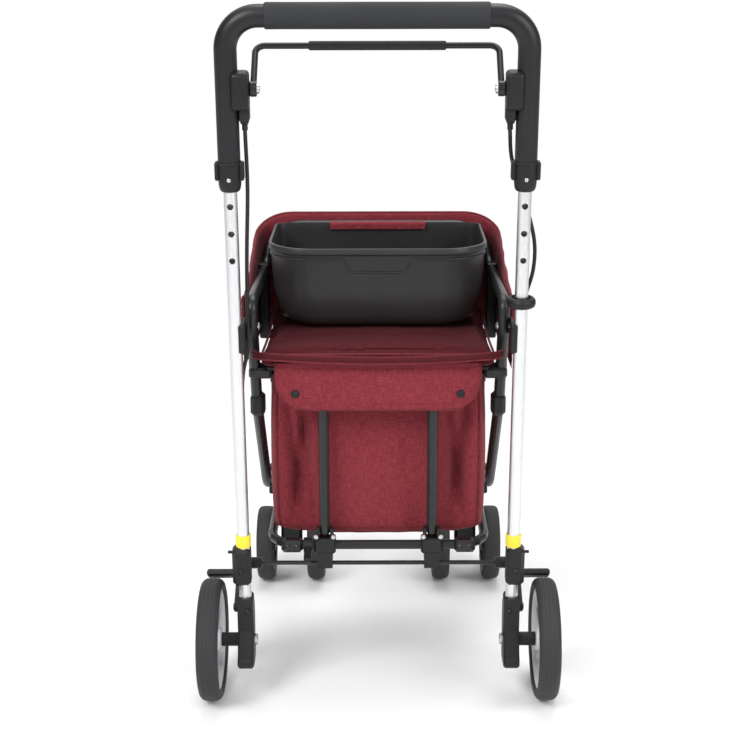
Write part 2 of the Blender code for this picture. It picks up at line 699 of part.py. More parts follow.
def brake_arm(side, legs):
    """Brake arm beside the wheel bracket, with the pad that reaches over the tread."""
    angle = math.radians(PAD_ANGLE_DEG)
    pad_r = REAR_WHEEL_R + PAD_GAP + PAD_T / 2
    pad_y = pad_r * math.cos(angle)
    pad_z = pad_r * math.sin(angle)
    outline = arc((BRAKE_ARM_Y, BRAKE_ARM_Z), 0.0075, 135, 300, 5)
    outline += [(pad_y - 0.002, pad_z - 0.014)]
    outline += arc((pad_y, pad_z), 0.0060, -60, 110, 5)
    bm = plate(outline, BRAKE_ARM_T, side * BRAKE_ARM_X, 0.0008)
    origin = (side * BRAKE_ARM_X, BRAKE_ARM_Y, BRAKE_ARM_Z)
    made = finish("brake_arm_" + side_name(side), bm, "black_plastic", BLACK_PLASTIC, legs, origin)
    inner = BRAKE_ARM_X - BRAKE_ARM_T / 2 + 0.001
    outer = WHEEL_X + REAR_TYRE_W / 2 - 0.004
    pad = block((outer - inner, 0.018, PAD_T), (0, 0, 0), 0.0025)
    bmesh.ops.rotate(pad, matrix=Matrix.Rotation(angle - math.pi / 2, 3, "X"), verts=pad.verts[:])
    bmesh.ops.translate(pad, vec=(side * (inner + outer) / 2, pad_y, pad_z), verts=pad.verts[:])
    unite(made, pad)
    hole = rod(BRAKE_PIN_R + RUNNING, (side * (BRAKE_ARM_X - 0.01), BRAKE_ARM_Y, BRAKE_ARM_Z),
               (side * (BRAKE_ARM_X + 0.01), BRAKE_ARM_Y, BRAKE_ARM_Z), 12)
    cut(made, hole)


# Handle


def handle(legs):
    """Handle tube and its grip."""
    radius = UPRIGHT_D / 2
    corners = [(-LEG_X, 0, COLLAR_TOP + GAP), (-LEG_X, 0, HANDLE_TOP), (LEG_X, 0, HANDLE_TOP),
               (LEG_X, 0, COLLAR_TOP + GAP)]
    path = rounded_path(corners, [HANDLE_CORNER_R] * 2, 18.0)
    bm = swept(path, radius, LEG_SIDES, bore=radius - UPRIGHT_WALL)
    finish("handle_tube", bm, "black_paint", BLACK_PAINT, legs)
    half = GRIP_LENGTH / 2
    inner = radius + GAP
    outer = GRIP_D / 2
    profile = [(inner, -half), (outer - 0.001, -half), (outer, -half + 0.002), (outer, half - 0.002),
               (outer - 0.001, half), (inner, half)]
    grip = turned(profile, (0, 0, HANDLE_TOP), "X", LEG_SIDES)
    finish("handle_grip", grip, "foam", FOAM, legs)


def handle_collar(side, legs):
    """Collar at the foot of an upright: a flare below and a bush inside the tube."""
    radius = UPRIGHT_D / 2
    slide = LEG_R + RUNNING
    bush = radius - UPRIGHT_WALL - GAP
    low = COLLAR_TOP - COLLAR_LENGTH
    flare = COLLAR_FLARE_D / 2
    cup = COLLAR_TOP + COLLAR_CUP
    profile = [(slide, low), (radius - 0.0015, low), (radius - 0.0005, low + 0.004),
               (radius - 0.0005, low + 0.012), (flare, low + 0.018), (flare, cup - 0.008),
               (flare - 0.0018, cup), (radius + GAP, cup), (radius + GAP, COLLAR_TOP), (bush, COLLAR_TOP),
               (bush, COLLAR_TOP + BUSH_LENGTH), (slide, COLLAR_TOP + BUSH_LENGTH)]
    ring = sided(turned(profile, (LEG_X, 0, 0), "Z", LEG_SIDES), side)
    name = "handle_collar_" + side_name(side)
    made = finish(name, ring, "black_plastic", BLACK_PLASTIC, legs)
    start = (LEG_X, -flare - 0.01, BUTTON_Z)
    hole = rod(HOLE_D / 2 + RUNNING, start, (LEG_X, -LEG_R + 0.002, BUTTON_Z), 12)
    cut(made, sided(hole, side))


def snap_button(side, legs):
    """Sprung button that locks the handle in a leg hole."""
    radius = HOLE_D / 2
    start = -LEG_R - RUNNING - GAP
    end = -UPRIGHT_D / 2 - BUTTON_STANDS_OUT
    shaft = rod(radius, (0, start, 0), (0, end + 0.0015, 0), 12)
    centre = (side * LEG_X, 0, BUTTON_Z)
    bmesh.ops.translate(shaft, vec=centre, verts=shaft.verts[:])
    made = finish("snap_button_" + side_name(side), shaft, "steel", STEEL, legs, centre)
    cap = rod(radius - 0.0012, (0, start - 0.001, 0), (0, end, 0), 12)
    bmesh.ops.translate(cap, vec=centre, verts=cap.verts[:])
    unite(made, cap)


def brake_housing(side, legs):
    """Housing on an upright: clamp band, pivot boss, cable box and pivot pin."""
    upright = UPRIGHT_D / 2
    arm_x = LEG_X - BRAKE_ARM_INSET
    boss_in = arm_x + EYE_HALF + RUNNING
    boss_out = LEG_X - upright - 0.0015
    edge = HOUSING_D / 2
    pin_r = BRAKE_PIVOT_R
    head_out = arm_x - EYE_HALF - RUNNING
    profile = [(0.0, head_out - 0.0034), (0.0055, head_out - 0.0028), (0.0065, head_out - 0.001),
               (0.0065, head_out), (pin_r, head_out), (pin_r, boss_in), (edge - 0.003, boss_in),
               (edge, boss_in + 0.003), (edge, boss_out), (0.0, boss_out)]
    boss = turned_solid(profile, (0, BRAKE_PIVOT_Y, BRAKE_PIVOT_Z), "X", LEG_SIDES)
    name = "brake_housing_" + side_name(side)
    made = finish(name, sided(boss, side), "black_plastic", BLACK_PLASTIC, legs)
    wall = upright + BAND_WALL
    band = [(upright + GAP, -0.015), (wall - 0.001, -0.015), (wall, -0.013), (wall, 0.013),
            (wall - 0.001, 0.015), (upright + GAP, 0.015)]
    unite(made, sided(turned(band, (LEG_X, 0, BRAKE_PIVOT_Z), "Z", LEG_SIDES), side))
    box_place = (arm_x + CABLE_BOX_OFFSET, BRAKE_PIVOT_Y - 0.004, BRAKE_PIVOT_Z - 0.022)
    unite(made, sided(block((0.013, 0.020, CABLE_BOX_HEIGHT), box_place, 0.003), side))
    start = (LEG_X, 0, BRAKE_PIVOT_Z - 0.06)
    bore = rod(upright + GAP, start, (LEG_X, 0, BRAKE_PIVOT_Z + 0.06), LEG_SIDES)
    cut(made, sided(bore, side))


def brake_bar(legs):
    """Brake bar: a bent rod whose ends turn on the housings, and its sleeve."""
    arm_x = LEG_X - BRAKE_ARM_INSET
    radius = BRAKE_BAR_D / 2
    origin = (0, BRAKE_PIVOT_Y, BRAKE_PIVOT_Z)
    corners = [(-arm_x, BRAKE_PIVOT_Y, BRAKE_PIVOT_Z), (-arm_x, BRAKE_BAR_Y, BRAKE_BAR_Z),
               (arm_x, BRAKE_BAR_Y, BRAKE_BAR_Z), (arm_x, BRAKE_PIVOT_Y, BRAKE_PIVOT_Z)]
    path = rounded_path(corners, [0.012, 0.012], 22.0)
    for end, inner in ((0, 1), (-1, -2)):
        path[end] = path[end] + (path[inner] - path[end]).normalized() * 0.006
    made = finish("brake_bar", swept(path, radius, 8), "black_paint", BLACK_PAINT, legs, origin)
    for side in (-1, 1):
        eye = rod(0.0095, (side * arm_x - EYE_HALF, BRAKE_PIVOT_Y, BRAKE_PIVOT_Z),
                  (side * arm_x + EYE_HALF, BRAKE_PIVOT_Y, BRAKE_PIVOT_Z), 12)
        unite(made, eye)
        hole = rod(BRAKE_PIVOT_R + RUNNING, (side * arm_x - 0.01, BRAKE_PIVOT_Y, BRAKE_PIVOT_Z),
                   (side * arm_x + 0.01, BRAKE_PIVOT_Y, BRAKE_PIVOT_Z), 12)
        cut(made, hole)
    half = BRAKE_SLEEVE_LENGTH / 2
    outer = BRAKE_SLEEVE_D / 2
    profile = [(radius + GAP, -half), (outer - 0.001, -half), (outer, -half + 0.001),
               (outer, half - 0.001), (outer - 0.001, half), (radius + GAP, half)]
    sleeve = turned(profile, (0, BRAKE_BAR_Y, BRAKE_BAR_Z), "X", 12)
    finish("brake_sleeve", sleeve, "foam", FOAM, legs, origin)


def smooth_route(points, spacing):
    """Return evenly spaced points on a smooth curve through a route's points."""
    points = [Vector(point) for point in points]
    padded = [2 * points[0] - points[1]] + points + [2 * points[-1] - points[-2]]
    fine = []
    for index in range(1, len(padded) - 2):
        p0, p1, p2, p3 = padded[index - 1:index + 3]
        for step in range(16):
            t = step / 16
            fine.append(0.5 * ((2 * p1) + (p2 - p0) * t + (2 * p0 - 5 * p1 + 4 * p2 - p3) * t * t
                               + (3 * p1 - p0 - 3 * p2 + p3) * t ** 3))
    fine.append(points[-1])
    total = sum((second - first).length for first, second in zip(fine, fine[1:]))
    count = max(2, round(total / spacing))
    kept = [fine[0]]
    walked = 0.0
    wanted = total / count
    for first, second in zip(fine, fine[1:]):
        length = (second - first).length
        while walked + length >= wanted * len(kept) - 1e-9 and len(kept) < count:
            kept.append(first.lerp(second, (wanted * len(kept) - walked) / length))
        walked += length
    kept.append(fine[-1])
    return kept


def cable_route(side):
    """Route of a brake cable in the leg frame, from its housing to its yellow collar."""
    box_x = LEG_X - BRAKE_ARM_INSET + CABLE_BOX_OFFSET
    box_low = BRAKE_PIVOT_Z - 0.022 - CABLE_BOX_HEIGHT / 2 - GAP
    collar_top = BRACKET_Z + BRACKET_HEIGHT + YELLOW_HEIGHT + 2 * GAP
    start = [(box_x, 0.001, box_low), (box_x, 0.001, box_low - 0.012)]
    end = [(LEG_X, CABLE_END_Y, collar_top + 0.012), (LEG_X, CABLE_END_Y, collar_top)]
    lower = [(LEG_X - 0.0140, 0.0200, 0.340), (LEG_X - 0.0130, 0.023, 0.280),
             (LEG_X - 0.0085, 0.021, 0.235), (LEG_X - 0.0030, 0.0150, 0.200)]
    if side < 0:
        middle = [(LEG_X - 0.0210, 0.006, 0.640), (LEG_X - 0.0170, 0.013, 0.560),
                  (LEG_X - 0.0150, 0.0165, 0.500), (LEG_X - 0.0140, 0.0165, 0.420)]
    else:
        middle = [(LEG_X - 0.0150, 0.0210, 0.670), (LEG_X + 0.0020, 0.0250, 0.620),
                  (LEG_X + 0.0155, 0.0200, 0.570), (LEG_X + 0.0160, 0.0200, 0.530),
                  (LEG_X + 0.0075, 0.0225, RING_Z + 0.0006), (LEG_X + 0.0006, 0.0205, 0.464),
                  (LEG_X - 0.0004, 0.0195, 0.438), (LEG_X - 0.0040, 0.0190, 0.408),
                  (LEG_X - 0.0115, 0.0190, 0.372)]
    return [(side * x, y, z) for x, y, z in start + middle + lower + end]


def brake_cable(side, legs):
    """Brake cable, whole, along the upright and the leg."""
    name = "brake_cable_" + side_name(side)
    curve = bpy.data.curves.new(name, "CURVE")
    curve.dimensions = "3D"
    curve.bevel_depth = CABLE_D / 2
    curve.bevel_resolution = 1
    curve.use_fill_caps = True
    points = smooth_route(cable_route(side), 3 * CABLE_D)
    line = curve.splines.new("POLY")
    line.points.add(len(points) - 1)
    for knot, place in zip(line.points, points):
        knot.co = (*place, 1.0)
    made = bpy.data.objects.new(name, curve)
    made.data.materials.append(material("rubber", RUBBER))
    made.parent = legs
    bpy.context.scene.collection.objects.link(made)


# Front frame



def backrest_hoop(floor):
    """One tube: up from each knuckle past the fold pin, the arm rails and the backrest bar."""
    right = [(SIDE_X, KNUCKLE_Y, KNUCKLE_Z + 0.004), (SIDE_X, KNEE_Y, KNEE_Z),
             (SIDE_X, ARM_FRONT_Y, ARM_FRONT_Z), (SIDE_X - 0.012, HOOP_Y, HOOP_Z)]
    left = [(-x, y, z) for x, y, z in right][::-1]
    radii = [0.016, 0.030, HOOP_CORNER_R, HOOP_CORNER_R, 0.030, 0.016]
    path = rounded_path(right + left, radii, 20.0)
    hoop = finish("backrest_hoop", swept(path, SIDE_R, 12), "black_paint", BLACK_PAINT, floor)
    reach = SIDE_X + SIDE_R + 0.01
    inner = SIDE_X - SIDE_R - 0.01
    hole = rod(FOLD_PIN_D / 2 + RUNNING, (inner, FOLD_PIVOT_Y, FOLD_PIVOT_Z),
               (reach, FOLD_PIVOT_Y, FOLD_PIVOT_Z), 12)
    cut(hoop, mirror_copy(hole))


def front_leg(side, floor):
    """Bent front leg from a knuckle to a caster housing, with the bolt of the bag carrier."""
    corners = [(SIDE_X, KNUCKLE_Y + 0.0035, KNUCKLE_Z - 0.004), (SIDE_X, LEG_BEND_Y, LEG_BEND_Z),
               (SIDE_X, CROSS_Y - 0.012, CROSS_Z + 0.004)]
    path = rounded_path(corners, [0.060], 9.0)
    bm = sided(swept(path, SIDE_R, 12), side)
    made = finish("front_leg_" + side_name(side), bm, "black_paint", BLACK_PAINT, floor)
    start = BASE_X - BASE_R - RUNNING
    end = SIDE_X + SIDE_R - 0.001
    profile = [(0.0, start - 0.0024), (0.0036, start - 0.0020), (0.0055, start - 0.0006), (0.0055, start),
               (BASE_BOLT_R, start), (BASE_BOLT_R, end), (0.0055, end), (0.0055, end + 0.0020),
               (0.0, end + 0.0028)]
    unite(made, sided(turned_solid(profile, (0, BASE_PIVOT_Y, BASE_Z), "X", 8), side))


def knuckle(side, floor):
    """Black block at a bend, with sockets for the tube above and the leg below."""
    outer = SIDE_X + SIDE_R + 0.0010
    inner = SIDE_X - SIDE_R - 0.0035
    place = ((outer + inner) / 2, KNUCKLE_Y, KNUCKLE_Z)
    bm = sided(block((outer - inner, 0.026, 0.030), place, 0.0045), side)
    made = finish("frame_knuckle_" + side_name(side), bm, "black_plastic", BLACK_PLASTIC, floor)
    upper = Vector((SIDE_X, KNUCKLE_Y, KNUCKLE_Z + 0.004))
    ahead = (Vector((SIDE_X, KNEE_Y, KNEE_Z)) - upper).normalized()
    cut(made, sided(rod(SIDE_R + GAP, upper - ahead * GAP, upper + ahead * 0.03, 12), side))
    lower = Vector((SIDE_X, KNUCKLE_Y + 0.0035, KNUCKLE_Z - 0.004))
    down = (Vector((SIDE_X, LEG_BEND_Y, LEG_BEND_Z)) - lower).normalized()
    cut(made, sided(rod(SIDE_R + GAP, lower - down * GAP, lower + down * 0.03, 12), side))


def cross_tube(floor):
    """Cross tube between the caster housings."""
    end = CASTER_X - 0.010
    bm = swept([(-end, CROSS_Y, CROSS_Z), (end, CROSS_Y, CROSS_Z)], SIDE_R, 12)
    finish("front_cross_tube", bm, "black_paint", BLACK_PAINT, floor)


def caster_housing(side, floor):
    """Casting that holds a front leg, the cross tube and a caster stem."""
    low = HOUSING_LOW
    high = HOUSING_HIGH
    outline = [(SIDE_X + SIDE_R + 0.004, CROSS_Y - 0.022), (SIDE_X + SIDE_R + 0.004, CROSS_Y + 0.004)]
    outline += arc((CASTER_X, CASTER_STEM_Y), 0.0175, 20, 160, 7)
    outline += [(CASTER_X - 0.022, CROSS_Y + 0.008), (CASTER_X - 0.022, CROSS_Y - 0.014)]
    bm = sided(drawn_up(outline, low, high, 0.003), side)
    made = finish("caster_housing_" + side_name(side), bm, "black_plastic", BLACK_PLASTIC, floor)
    bend = Vector((SIDE_X, LEG_BEND_Y, LEG_BEND_Z))
    end = Vector((SIDE_X, CROSS_Y - 0.012, CROSS_Z + 0.004))
    ahead = (end - bend).normalized()
    cut(made, sided(rod(SIDE_R + GAP, end - ahead * 0.05, end + ahead * GAP, 12), side))
    tube_end = CASTER_X - 0.010 + GAP
    cut(made, sided(rod(SIDE_R + GAP, (0, CROSS_Y, CROSS_Z), (tube_end, CROSS_Y, CROSS_Z), 12), side))
    stem = rod(CASTER_STEM_R + RUNNING, (CASTER_X, CASTER_STEM_Y, low - 0.01),
               (CASTER_X, CASTER_STEM_Y, high - 0.006), 12)
    cut(made, sided(stem, side))


def caster(side, floor):
    """Caster: stem, body between the twin wheels, axle and the two wheels."""
    low = HOUSING_LOW
    origin = (side * CASTER_X, CASTER_STEM_Y, 0)
    swivel = empty("caster_" + side_name(side), floor, origin)
    outline = [(-0.006, low - 0.0075), (-0.018, low - 0.010)]
    outline += arc((-CASTER_TRAIL, CASTER_WHEEL_R), 0.017, 150, 350, 9)
    outline += [(0.012, low - 0.030), (0.016, low - 0.010), (0.006, low - 0.0075)]
    bm = plate(outline[::-1], CASTER_BODY_W, 0.0, 0.004)
    body = finish("caster_fork_" + side_name(side), bm, "black_plastic", BLACK_PLASTIC, swivel)
    top = HOUSING_HIGH - 0.006 - GAP
    stem_r = CASTER_STEM_R
    flange = low - RUNNING
    profile = [(0.0, low - 0.012), (0.0145, low - 0.012), (0.0145, flange), (stem_r, flange),
               (stem_r, top), (0.0, top)]
    unite(body, turned_solid(profile, (0, 0, 0), "Z", 12))
    reach = CASTER_TWIN_HALF + CASTER_WHEEL_W / 2 + RUNNING
    axle = [(0.0, -reach - 0.0012), (0.0065, -reach - 0.0012), (0.0065, -reach), (CASTER_AXLE_R, -reach),
            (CASTER_AXLE_R, reach), (0.0065, reach), (0.0065, reach + 0.0012), (0.0, reach + 0.0012)]
    unite(body, turned_solid(axle, (0, -CASTER_TRAIL, CASTER_WHEEL_R), "X", 12))
    for turn in (-1, 1):
        place = "outer" if turn == side else "inner"
        centre = (turn * CASTER_TWIN_HALF, -CASTER_TRAIL, CASTER_WHEEL_R)
        outer = CASTER_WHEEL_R
        half = CASTER_WHEEL_W / 2
        bore = CASTER_AXLE_R + RUNNING
        profile = [(bore, -half), (outer - 0.006, -half), (outer, -half + 0.007),
                   (outer, half - 0.007), (outer - 0.006, half), (outer - 0.016, half),
                   (outer - 0.020, half - 0.004), (0.016, half - 0.004), (0.013, half), (bore, half)]
        profile = [(radius, turn * place_x) for radius, place_x in profile]
        name = "caster_wheel_" + side_name(side) + "_" + place
        finish(name, turned(profile, centre, "X", 16), "rubber", RUBBER, swivel, centre)


# Seat, bag and hood


def bag_rail(floor):
    """U tube under the seat that the bag hangs on, with its blocks and hangers."""
    corners = [(RAIL_X, BAG_RAIL_REAR_Y, BAG_RAIL_Z), (RAIL_X, RAIL_FRONT_Y, BAG_RAIL_Z),
               (-RAIL_X, RAIL_FRONT_Y, BAG_RAIL_Z), (-RAIL_X, BAG_RAIL_REAR_Y, BAG_RAIL_Z)]
    path = rounded_path(corners, [0.030, 0.030], 22.5)
    made = finish("bag_rail", swept(path, RAIL_R, 8), "black_paint", BLACK_PAINT, floor)
    inner = RAIL_X - RAIL_R - 0.001
    outer = SIDE_X + SIDE_R + 0.0005
    tube_y = KNUCKLE_Y + (KNEE_Y - KNUCKLE_Y) * (BAG_RAIL_Z - KNUCKLE_Z) / (KNEE_Z - KNUCKLE_Z)
    size = (outer - inner, 0.034, 0.0145)
    unite(made, mirror_copy(block(size, ((outer + inner) / 2, tube_y + 0.006, BAG_RAIL_Z - 0.0015), 0.003)))
    hang_y = ARM_FRONT_Y - 0.030
    fall = (ARM_FRONT_Z - KNEE_Z) / (ARM_FRONT_Y - KNEE_Y)
    drop = KNEE_Z + fall * (hang_y - KNEE_Y)
    low = BAG_RAIL_Z - RAIL_R + 0.0005
    size = (outer - inner, 0.014, BAG_RAIL_Z + RAIL_R - low)
    unite(made, mirror_copy(block(size, ((outer + inner) / 2, hang_y, BAG_RAIL_Z + 0.0002), 0.002)))
    high = drop + SIDE_R + 0.003
    strap_in = SEAT_HALF_W + GAP
    size = (outer - strap_in, 0.014, high - low)
    unite(made, mirror_copy(block(size, ((outer + strap_in) / 2, hang_y, (high + low) / 2), 0.002)))
    reach = 0.03
    start = (SIDE_X, hang_y - reach, drop - reach * fall)
    end = (SIDE_X, hang_y + reach, drop + reach * fall)
    cut(made, mirror_copy(rod(SIDE_R + GAP, start, end, 12)))
    upper = Vector((SIDE_X, KNUCKLE_Y, KNUCKLE_Z + 0.004))
    ahead = (Vector((SIDE_X, KNEE_Y, KNEE_Z)) - upper).normalized()
    cut(made, mirror_copy(rod(SIDE_R + GAP, upper, upper + ahead * 0.12, 12)))


def seat(floor):
    """Seat board and the crowned seat pad on it."""
    low = BAG_RAIL_Z + RAIL_R + GAP
    depth = SEAT_FRONT_Y - SEAT_REAR_Y
    middle = (SEAT_FRONT_Y + SEAT_REAR_Y) / 2
    board = block((2 * SEAT_HALF_W - 0.02, depth - 0.02, SEAT_BOARD_T), (0, middle, low + SEAT_BOARD_T / 2), 0.002, 1)
    finish("seat_board", board, "black_plastic", BLACK_PLASTIC, floor)
    pad_low = low + SEAT_BOARD_T + GAP
    columns = 13
    rows = 13
    bm = bmesh.new()
    grids = []
    for layer in (0, 1, 2):
        grid = []
        for row in range(rows):
            line = []
            for column in range(columns):
                u = 2 * column / (columns - 1) - 1
                v = 2 * row / (rows - 1) - 1
                edge = 1 - (1 - abs(u) ** 8) * (1 - abs(v) ** 8)
                pull = 1 - 0.018 * (1 - abs(u) ** 2) * (abs(v) > 0.99) - 0.018 * (1 - abs(v) ** 2) * (abs(u) > 0.99)
                round_off = 1 - 0.045 * (abs(u) * abs(v)) ** 4
                x = u * SEAT_HALF_W * pull * round_off
                y = middle + v * depth / 2 * pull * round_off
                crown = SEAT_CROWN * (1 - u ** 2) * (1 - v ** 2)
                channel = 0.0022 * math.exp(-((v + 0.52) / 0.07) ** 2) * (1 - u ** 6)
                if layer == 0:
                    z = pad_low
                    x *= 0.985
                    y = middle + (y - middle) * 0.985
                elif layer == 1:
                    z = pad_low + SEAT_PAD_H / 2
                    if max(abs(u), abs(v)) > 0.99:
                        x *= 1.0
                else:
                    z = pad_low + SEAT_PAD_H * (1 - 0.30 * edge) + crown - channel
                    x *= 0.988
                    y = middle + (y - middle) * 0.988
                line.append((x, y, z))
            grid.append(line)
        grids.append(grid)
    bottom = [[bm.verts.new(point) for point in line] for line in grids[0]]
    top = [[bm.verts.new(point) for point in line] for line in grids[2]]
    for row in range(rows - 1):
        for column in range(columns - 1):
            bm.faces.new((bottom[row][column], bottom[row + 1][column], bottom[row + 1][column + 1],
                          bottom[row][column + 1]))
            bm.faces.new((top[row][column], top[row][column + 1], top[row + 1][column + 1],
                          top[row + 1][column]))
    rim = [(0, column) for column in range(columns)]
    rim += [(row, columns - 1) for row in range(1, rows)]
    rim += [(rows - 1, column) for column in range(columns - 2, -1, -1)]
    rim += [(row, 0) for row in range(rows - 2, 0, -1)]
    side_ring = [bm.verts.new(grids[1][row][column]) for row, column in rim]
    for index in range(len(rim)):
        after = (index + 1) % len(rim)
        here = rim[index]
        there = rim[after]
        bm.faces.new((bottom[here[0]][here[1]], bottom[there[0]][there[1]], side_ring[after], side_ring[index]))
        bm.faces.new((side_ring[index], side_ring[after], top[there[0]][there[1]], top[here[0]][here[1]]))
    finish("seat_pad", bm, "red_fabric", RED_FABRIC, floor)


def bag(floor):
    """Bag body: a closed solid with rounded upright corners and a softly rounded bottom."""
    half = BAG_HALF_W
    corner = BAG_CORNER_R
    outline = arc((half - corner, BAG_FRONT_Y - corner), corner, 0, 90, 5)
    outline += arc((-half + corner, BAG_FRONT_Y - corner), corner, 90, 180, 5)
    outline += arc((-half + corner, BAG_REAR_Y + corner), corner, 180, 270, 5)
    outline += arc((half - corner, BAG_REAR_Y + corner), corner, 270, 360, 5)
    bm = bmesh.new()
    middle_y = (BAG_REAR_Y + BAG_FRONT_Y) / 2
    levels = [(BAG_BOTTOM_Z, 0.90), (BAG_BOTTOM_Z + 0.006, 0.965), (BAG_BOTTOM_Z + 0.022, 1.0),
              (BAG_TOP_Z - 0.03, 1.0), (BAG_TOP_Z, 0.985)]
    rings = []
    for height, share in levels:
        ring = [bm.verts.new((x * share, middle_y + (y - middle_y) * share, height)) for x, y in outline]
        rings.append(ring)
    for first, second in zip(rings, rings[1:]):
        count = len(first)
        for step in range(count):
            after = (step + 1) % count
            bm.faces.new((first[step], first[after], second[after], second[step]))
    bm.faces.new(rings[0])
    bm.faces.new(rings[-1])
    finish("bag", bm, "red_fabric", RED_FABRIC, floor)


def pocket_flap(floor):
    """Flap that hangs over the stays, with its two press studs."""
    half = FLAP_HALF_W
    corner = FLAP_CORNER_R
    low = FLAP_TOP_Z - FLAP_HEIGHT
    outline = [(half, FLAP_TOP_Z)]
    outline += [(x, z) for x, z in arc((half - corner, low + corner), corner, 0, -90, 7)]
    outline += [(x, z) for x, z in arc((-half + corner, low + corner), corner, -90, -180, 7)]
    outline += [(-half, FLAP_TOP_Z)]
    bm = bmesh.new()
    ring = [bm.verts.new((x, FLAP_Y, z)) for x, z in outline]
    face = bm.faces.new(ring)
    grown = bmesh.ops.extrude_face_region(bm, geom=[face])["geom"]
    moved = [item for item in grown if isinstance(item, bmesh.types.BMVert)]
    bmesh.ops.translate(bm, vec=(0, FLAP_T, 0), verts=moved)
    origin = (0, FLAP_Y + FLAP_T / 2, FLAP_TOP_Z)
    made = finish("pocket_flap", bm, "red_fabric", RED_FABRIC, floor, origin)
    unite(made, mirror_copy(bolt_head((STUD_X, FLAP_Y, low + STUD_RISE), STUD_R, 0.0022)))


def backrest_hood(floor):
    """Padded wall round the hoop: front and sides in one sheet, open to the user's side."""
    half = HOOD_HALF_W
    corner = HOOD_CORNER_R
    straight = HOOD_FRONT_Y - corner - HOOD_REAR_Y
    plan = [(half, HOOD_REAR_Y + straight * share) for share in (0.0, 0.35, 0.70)]
    plan += arc((half - corner, HOOD_FRONT_Y - corner), corner, 0, 90, 7)
    plan += [(x * -1, y) for x, y in plan[::-1]]
    rise = HOOD_FRONT_TOP_Z - HOOD_REAR_TOP_Z
    bm = bmesh.new()
    rings = []
    for index, (x, y) in enumerate(plan):
        before = Vector(plan[max(index - 1, 0)])
        after = Vector(plan[min(index + 1, len(plan) - 1)])
        ahead = (after - before).normalized()
        inward = Vector((-ahead.y, ahead.x))
        share = max(0.0, (y - HOOD_REAR_Y) / (HOOD_FRONT_Y - HOOD_REAR_Y))
        top = HOOD_REAR_TOP_Z + rise * share ** HOOD_SWEEP
        inner = Vector((x, y)) + inward * HOOD_WALL
        rings.append([bm.verts.new((x, y, HOOD_BOTTOM_Z)), bm.verts.new((x, y, top - 0.003)),
                      bm.verts.new(((x + inner.x) / 2, (y + inner.y) / 2, top)),
                      bm.verts.new((inner.x, inner.y, top - 0.003)),
                      bm.verts.new((inner.x, inner.y, HOOD_BOTTOM_Z))])
    for first, second in zip(rings, rings[1:]):
        for step in range(5):
            after = (step + 1) % 5
            bm.faces.new((first[step], first[after], second[after], second[step]))
    bm.faces.new(rings[0])
    bm.faces.new(rings[-1])
    finish("backrest_hood", bm, "red_fabric", RED_FABRIC, floor)


# Tray


def tray_outline(inset):
    """Plan of the tray: large round corners towards the user, small ones at the backrest."""
    half = TRAY_HALF_W - inset
    near = TRAY_NEAR_R - inset * 0.5
    far = max(TRAY_FAR_R - inset * 0.5, 0.004)
    low = TRAY_REAR_Y + inset
    high = TRAY_FRONT_Y - inset * 0.3
    outline = arc((half - far, high - far), far, 0, 90, 4)
    outline += arc((-half + far, high - far), far, 90, 180, 4)
    outline += arc((-half + near, low + near), near, 180, 270, 7)
    outline += arc((half - near, low + near), near, 270, 360, 7)
    return outline


def tray(floor):
    """Moulded tray: tapered walls, rounded bottom edge, rim lip and an open top."""
    height = TRAY_RIM_Z - TRAY_BOTTOM_Z
    levels = [(0.0, TRAY_TAPER + 0.014), (0.004, TRAY_TAPER + 0.006), (0.012, TRAY_TAPER + 0.001),
              (height - 0.030, 0.0022), (height - 0.027, 0.0016), (height - 0.002, 0.0), (height, 0.0008)]
    inner = [(height, TRAY_WALL - 0.0008), (height - 0.004, TRAY_WALL), (0.014, TRAY_TAPER + TRAY_WALL),
             (0.006, TRAY_TAPER + TRAY_WALL + 0.005), (TRAY_WALL, TRAY_TAPER + TRAY_WALL + 0.014)]
    bm = bmesh.new()
    rings = []
    for rise, inset in levels + inner:
        rings.append([bm.verts.new((x, y, TRAY_BOTTOM_Z + rise)) for x, y in tray_outline(inset)])
    for first, second in zip(rings, rings[1:]):
        count = len(first)
        for step in range(count):
            after = (step + 1) % count
            bm.faces.new((first[step], first[after], second[after], second[step]))
    bm.faces.new(rings[0])
    bm.faces.new(rings[-1])
    made = finish("tray", bm, "tray_plastic", TRAY_GREY, floor)
    panel_half = 0.047
    relief = block((2 * panel_half, 0.008, 0.030), (0, TRAY_REAR_Y - 0.0032, TRAY_RIM_Z - 0.036), 0.002, 1)
    cut(made, relief)


def tray_strap(floor):
    """Fabric strap folded over the tray's back wall."""
    top = TRAY_RIM_Z + GAP
    outer_y = TRAY_FRONT_Y + GAP
    wall = TRAY_WALL + 2 * GAP
    drop = 0.030
    inner_y = outer_y - wall - 0.0012
    outline = [(outer_y + STRAP_T, TRAY_RIM_Z - drop), (outer_y + STRAP_T, top + STRAP_T * 0.4),
               (outer_y + STRAP_T * 0.4, top + STRAP_T), (inner_y - STRAP_T * 0.4, top + STRAP_T),
               (inner_y - STRAP_T, top + STRAP_T * 0.4), (inner_y - STRAP_T, TRAY_RIM_Z - drop),
               (inner_y, TRAY_RIM_Z - drop), (inner_y, top), (outer_y, top), (outer_y, TRAY_RIM_Z - drop)]
    bm = plate(outline, 2 * STRAP_HALF_W, 0.0)
    finish("tray_strap", bm, "red_fabric", RED_FABRIC, floor)


# Bag carrier


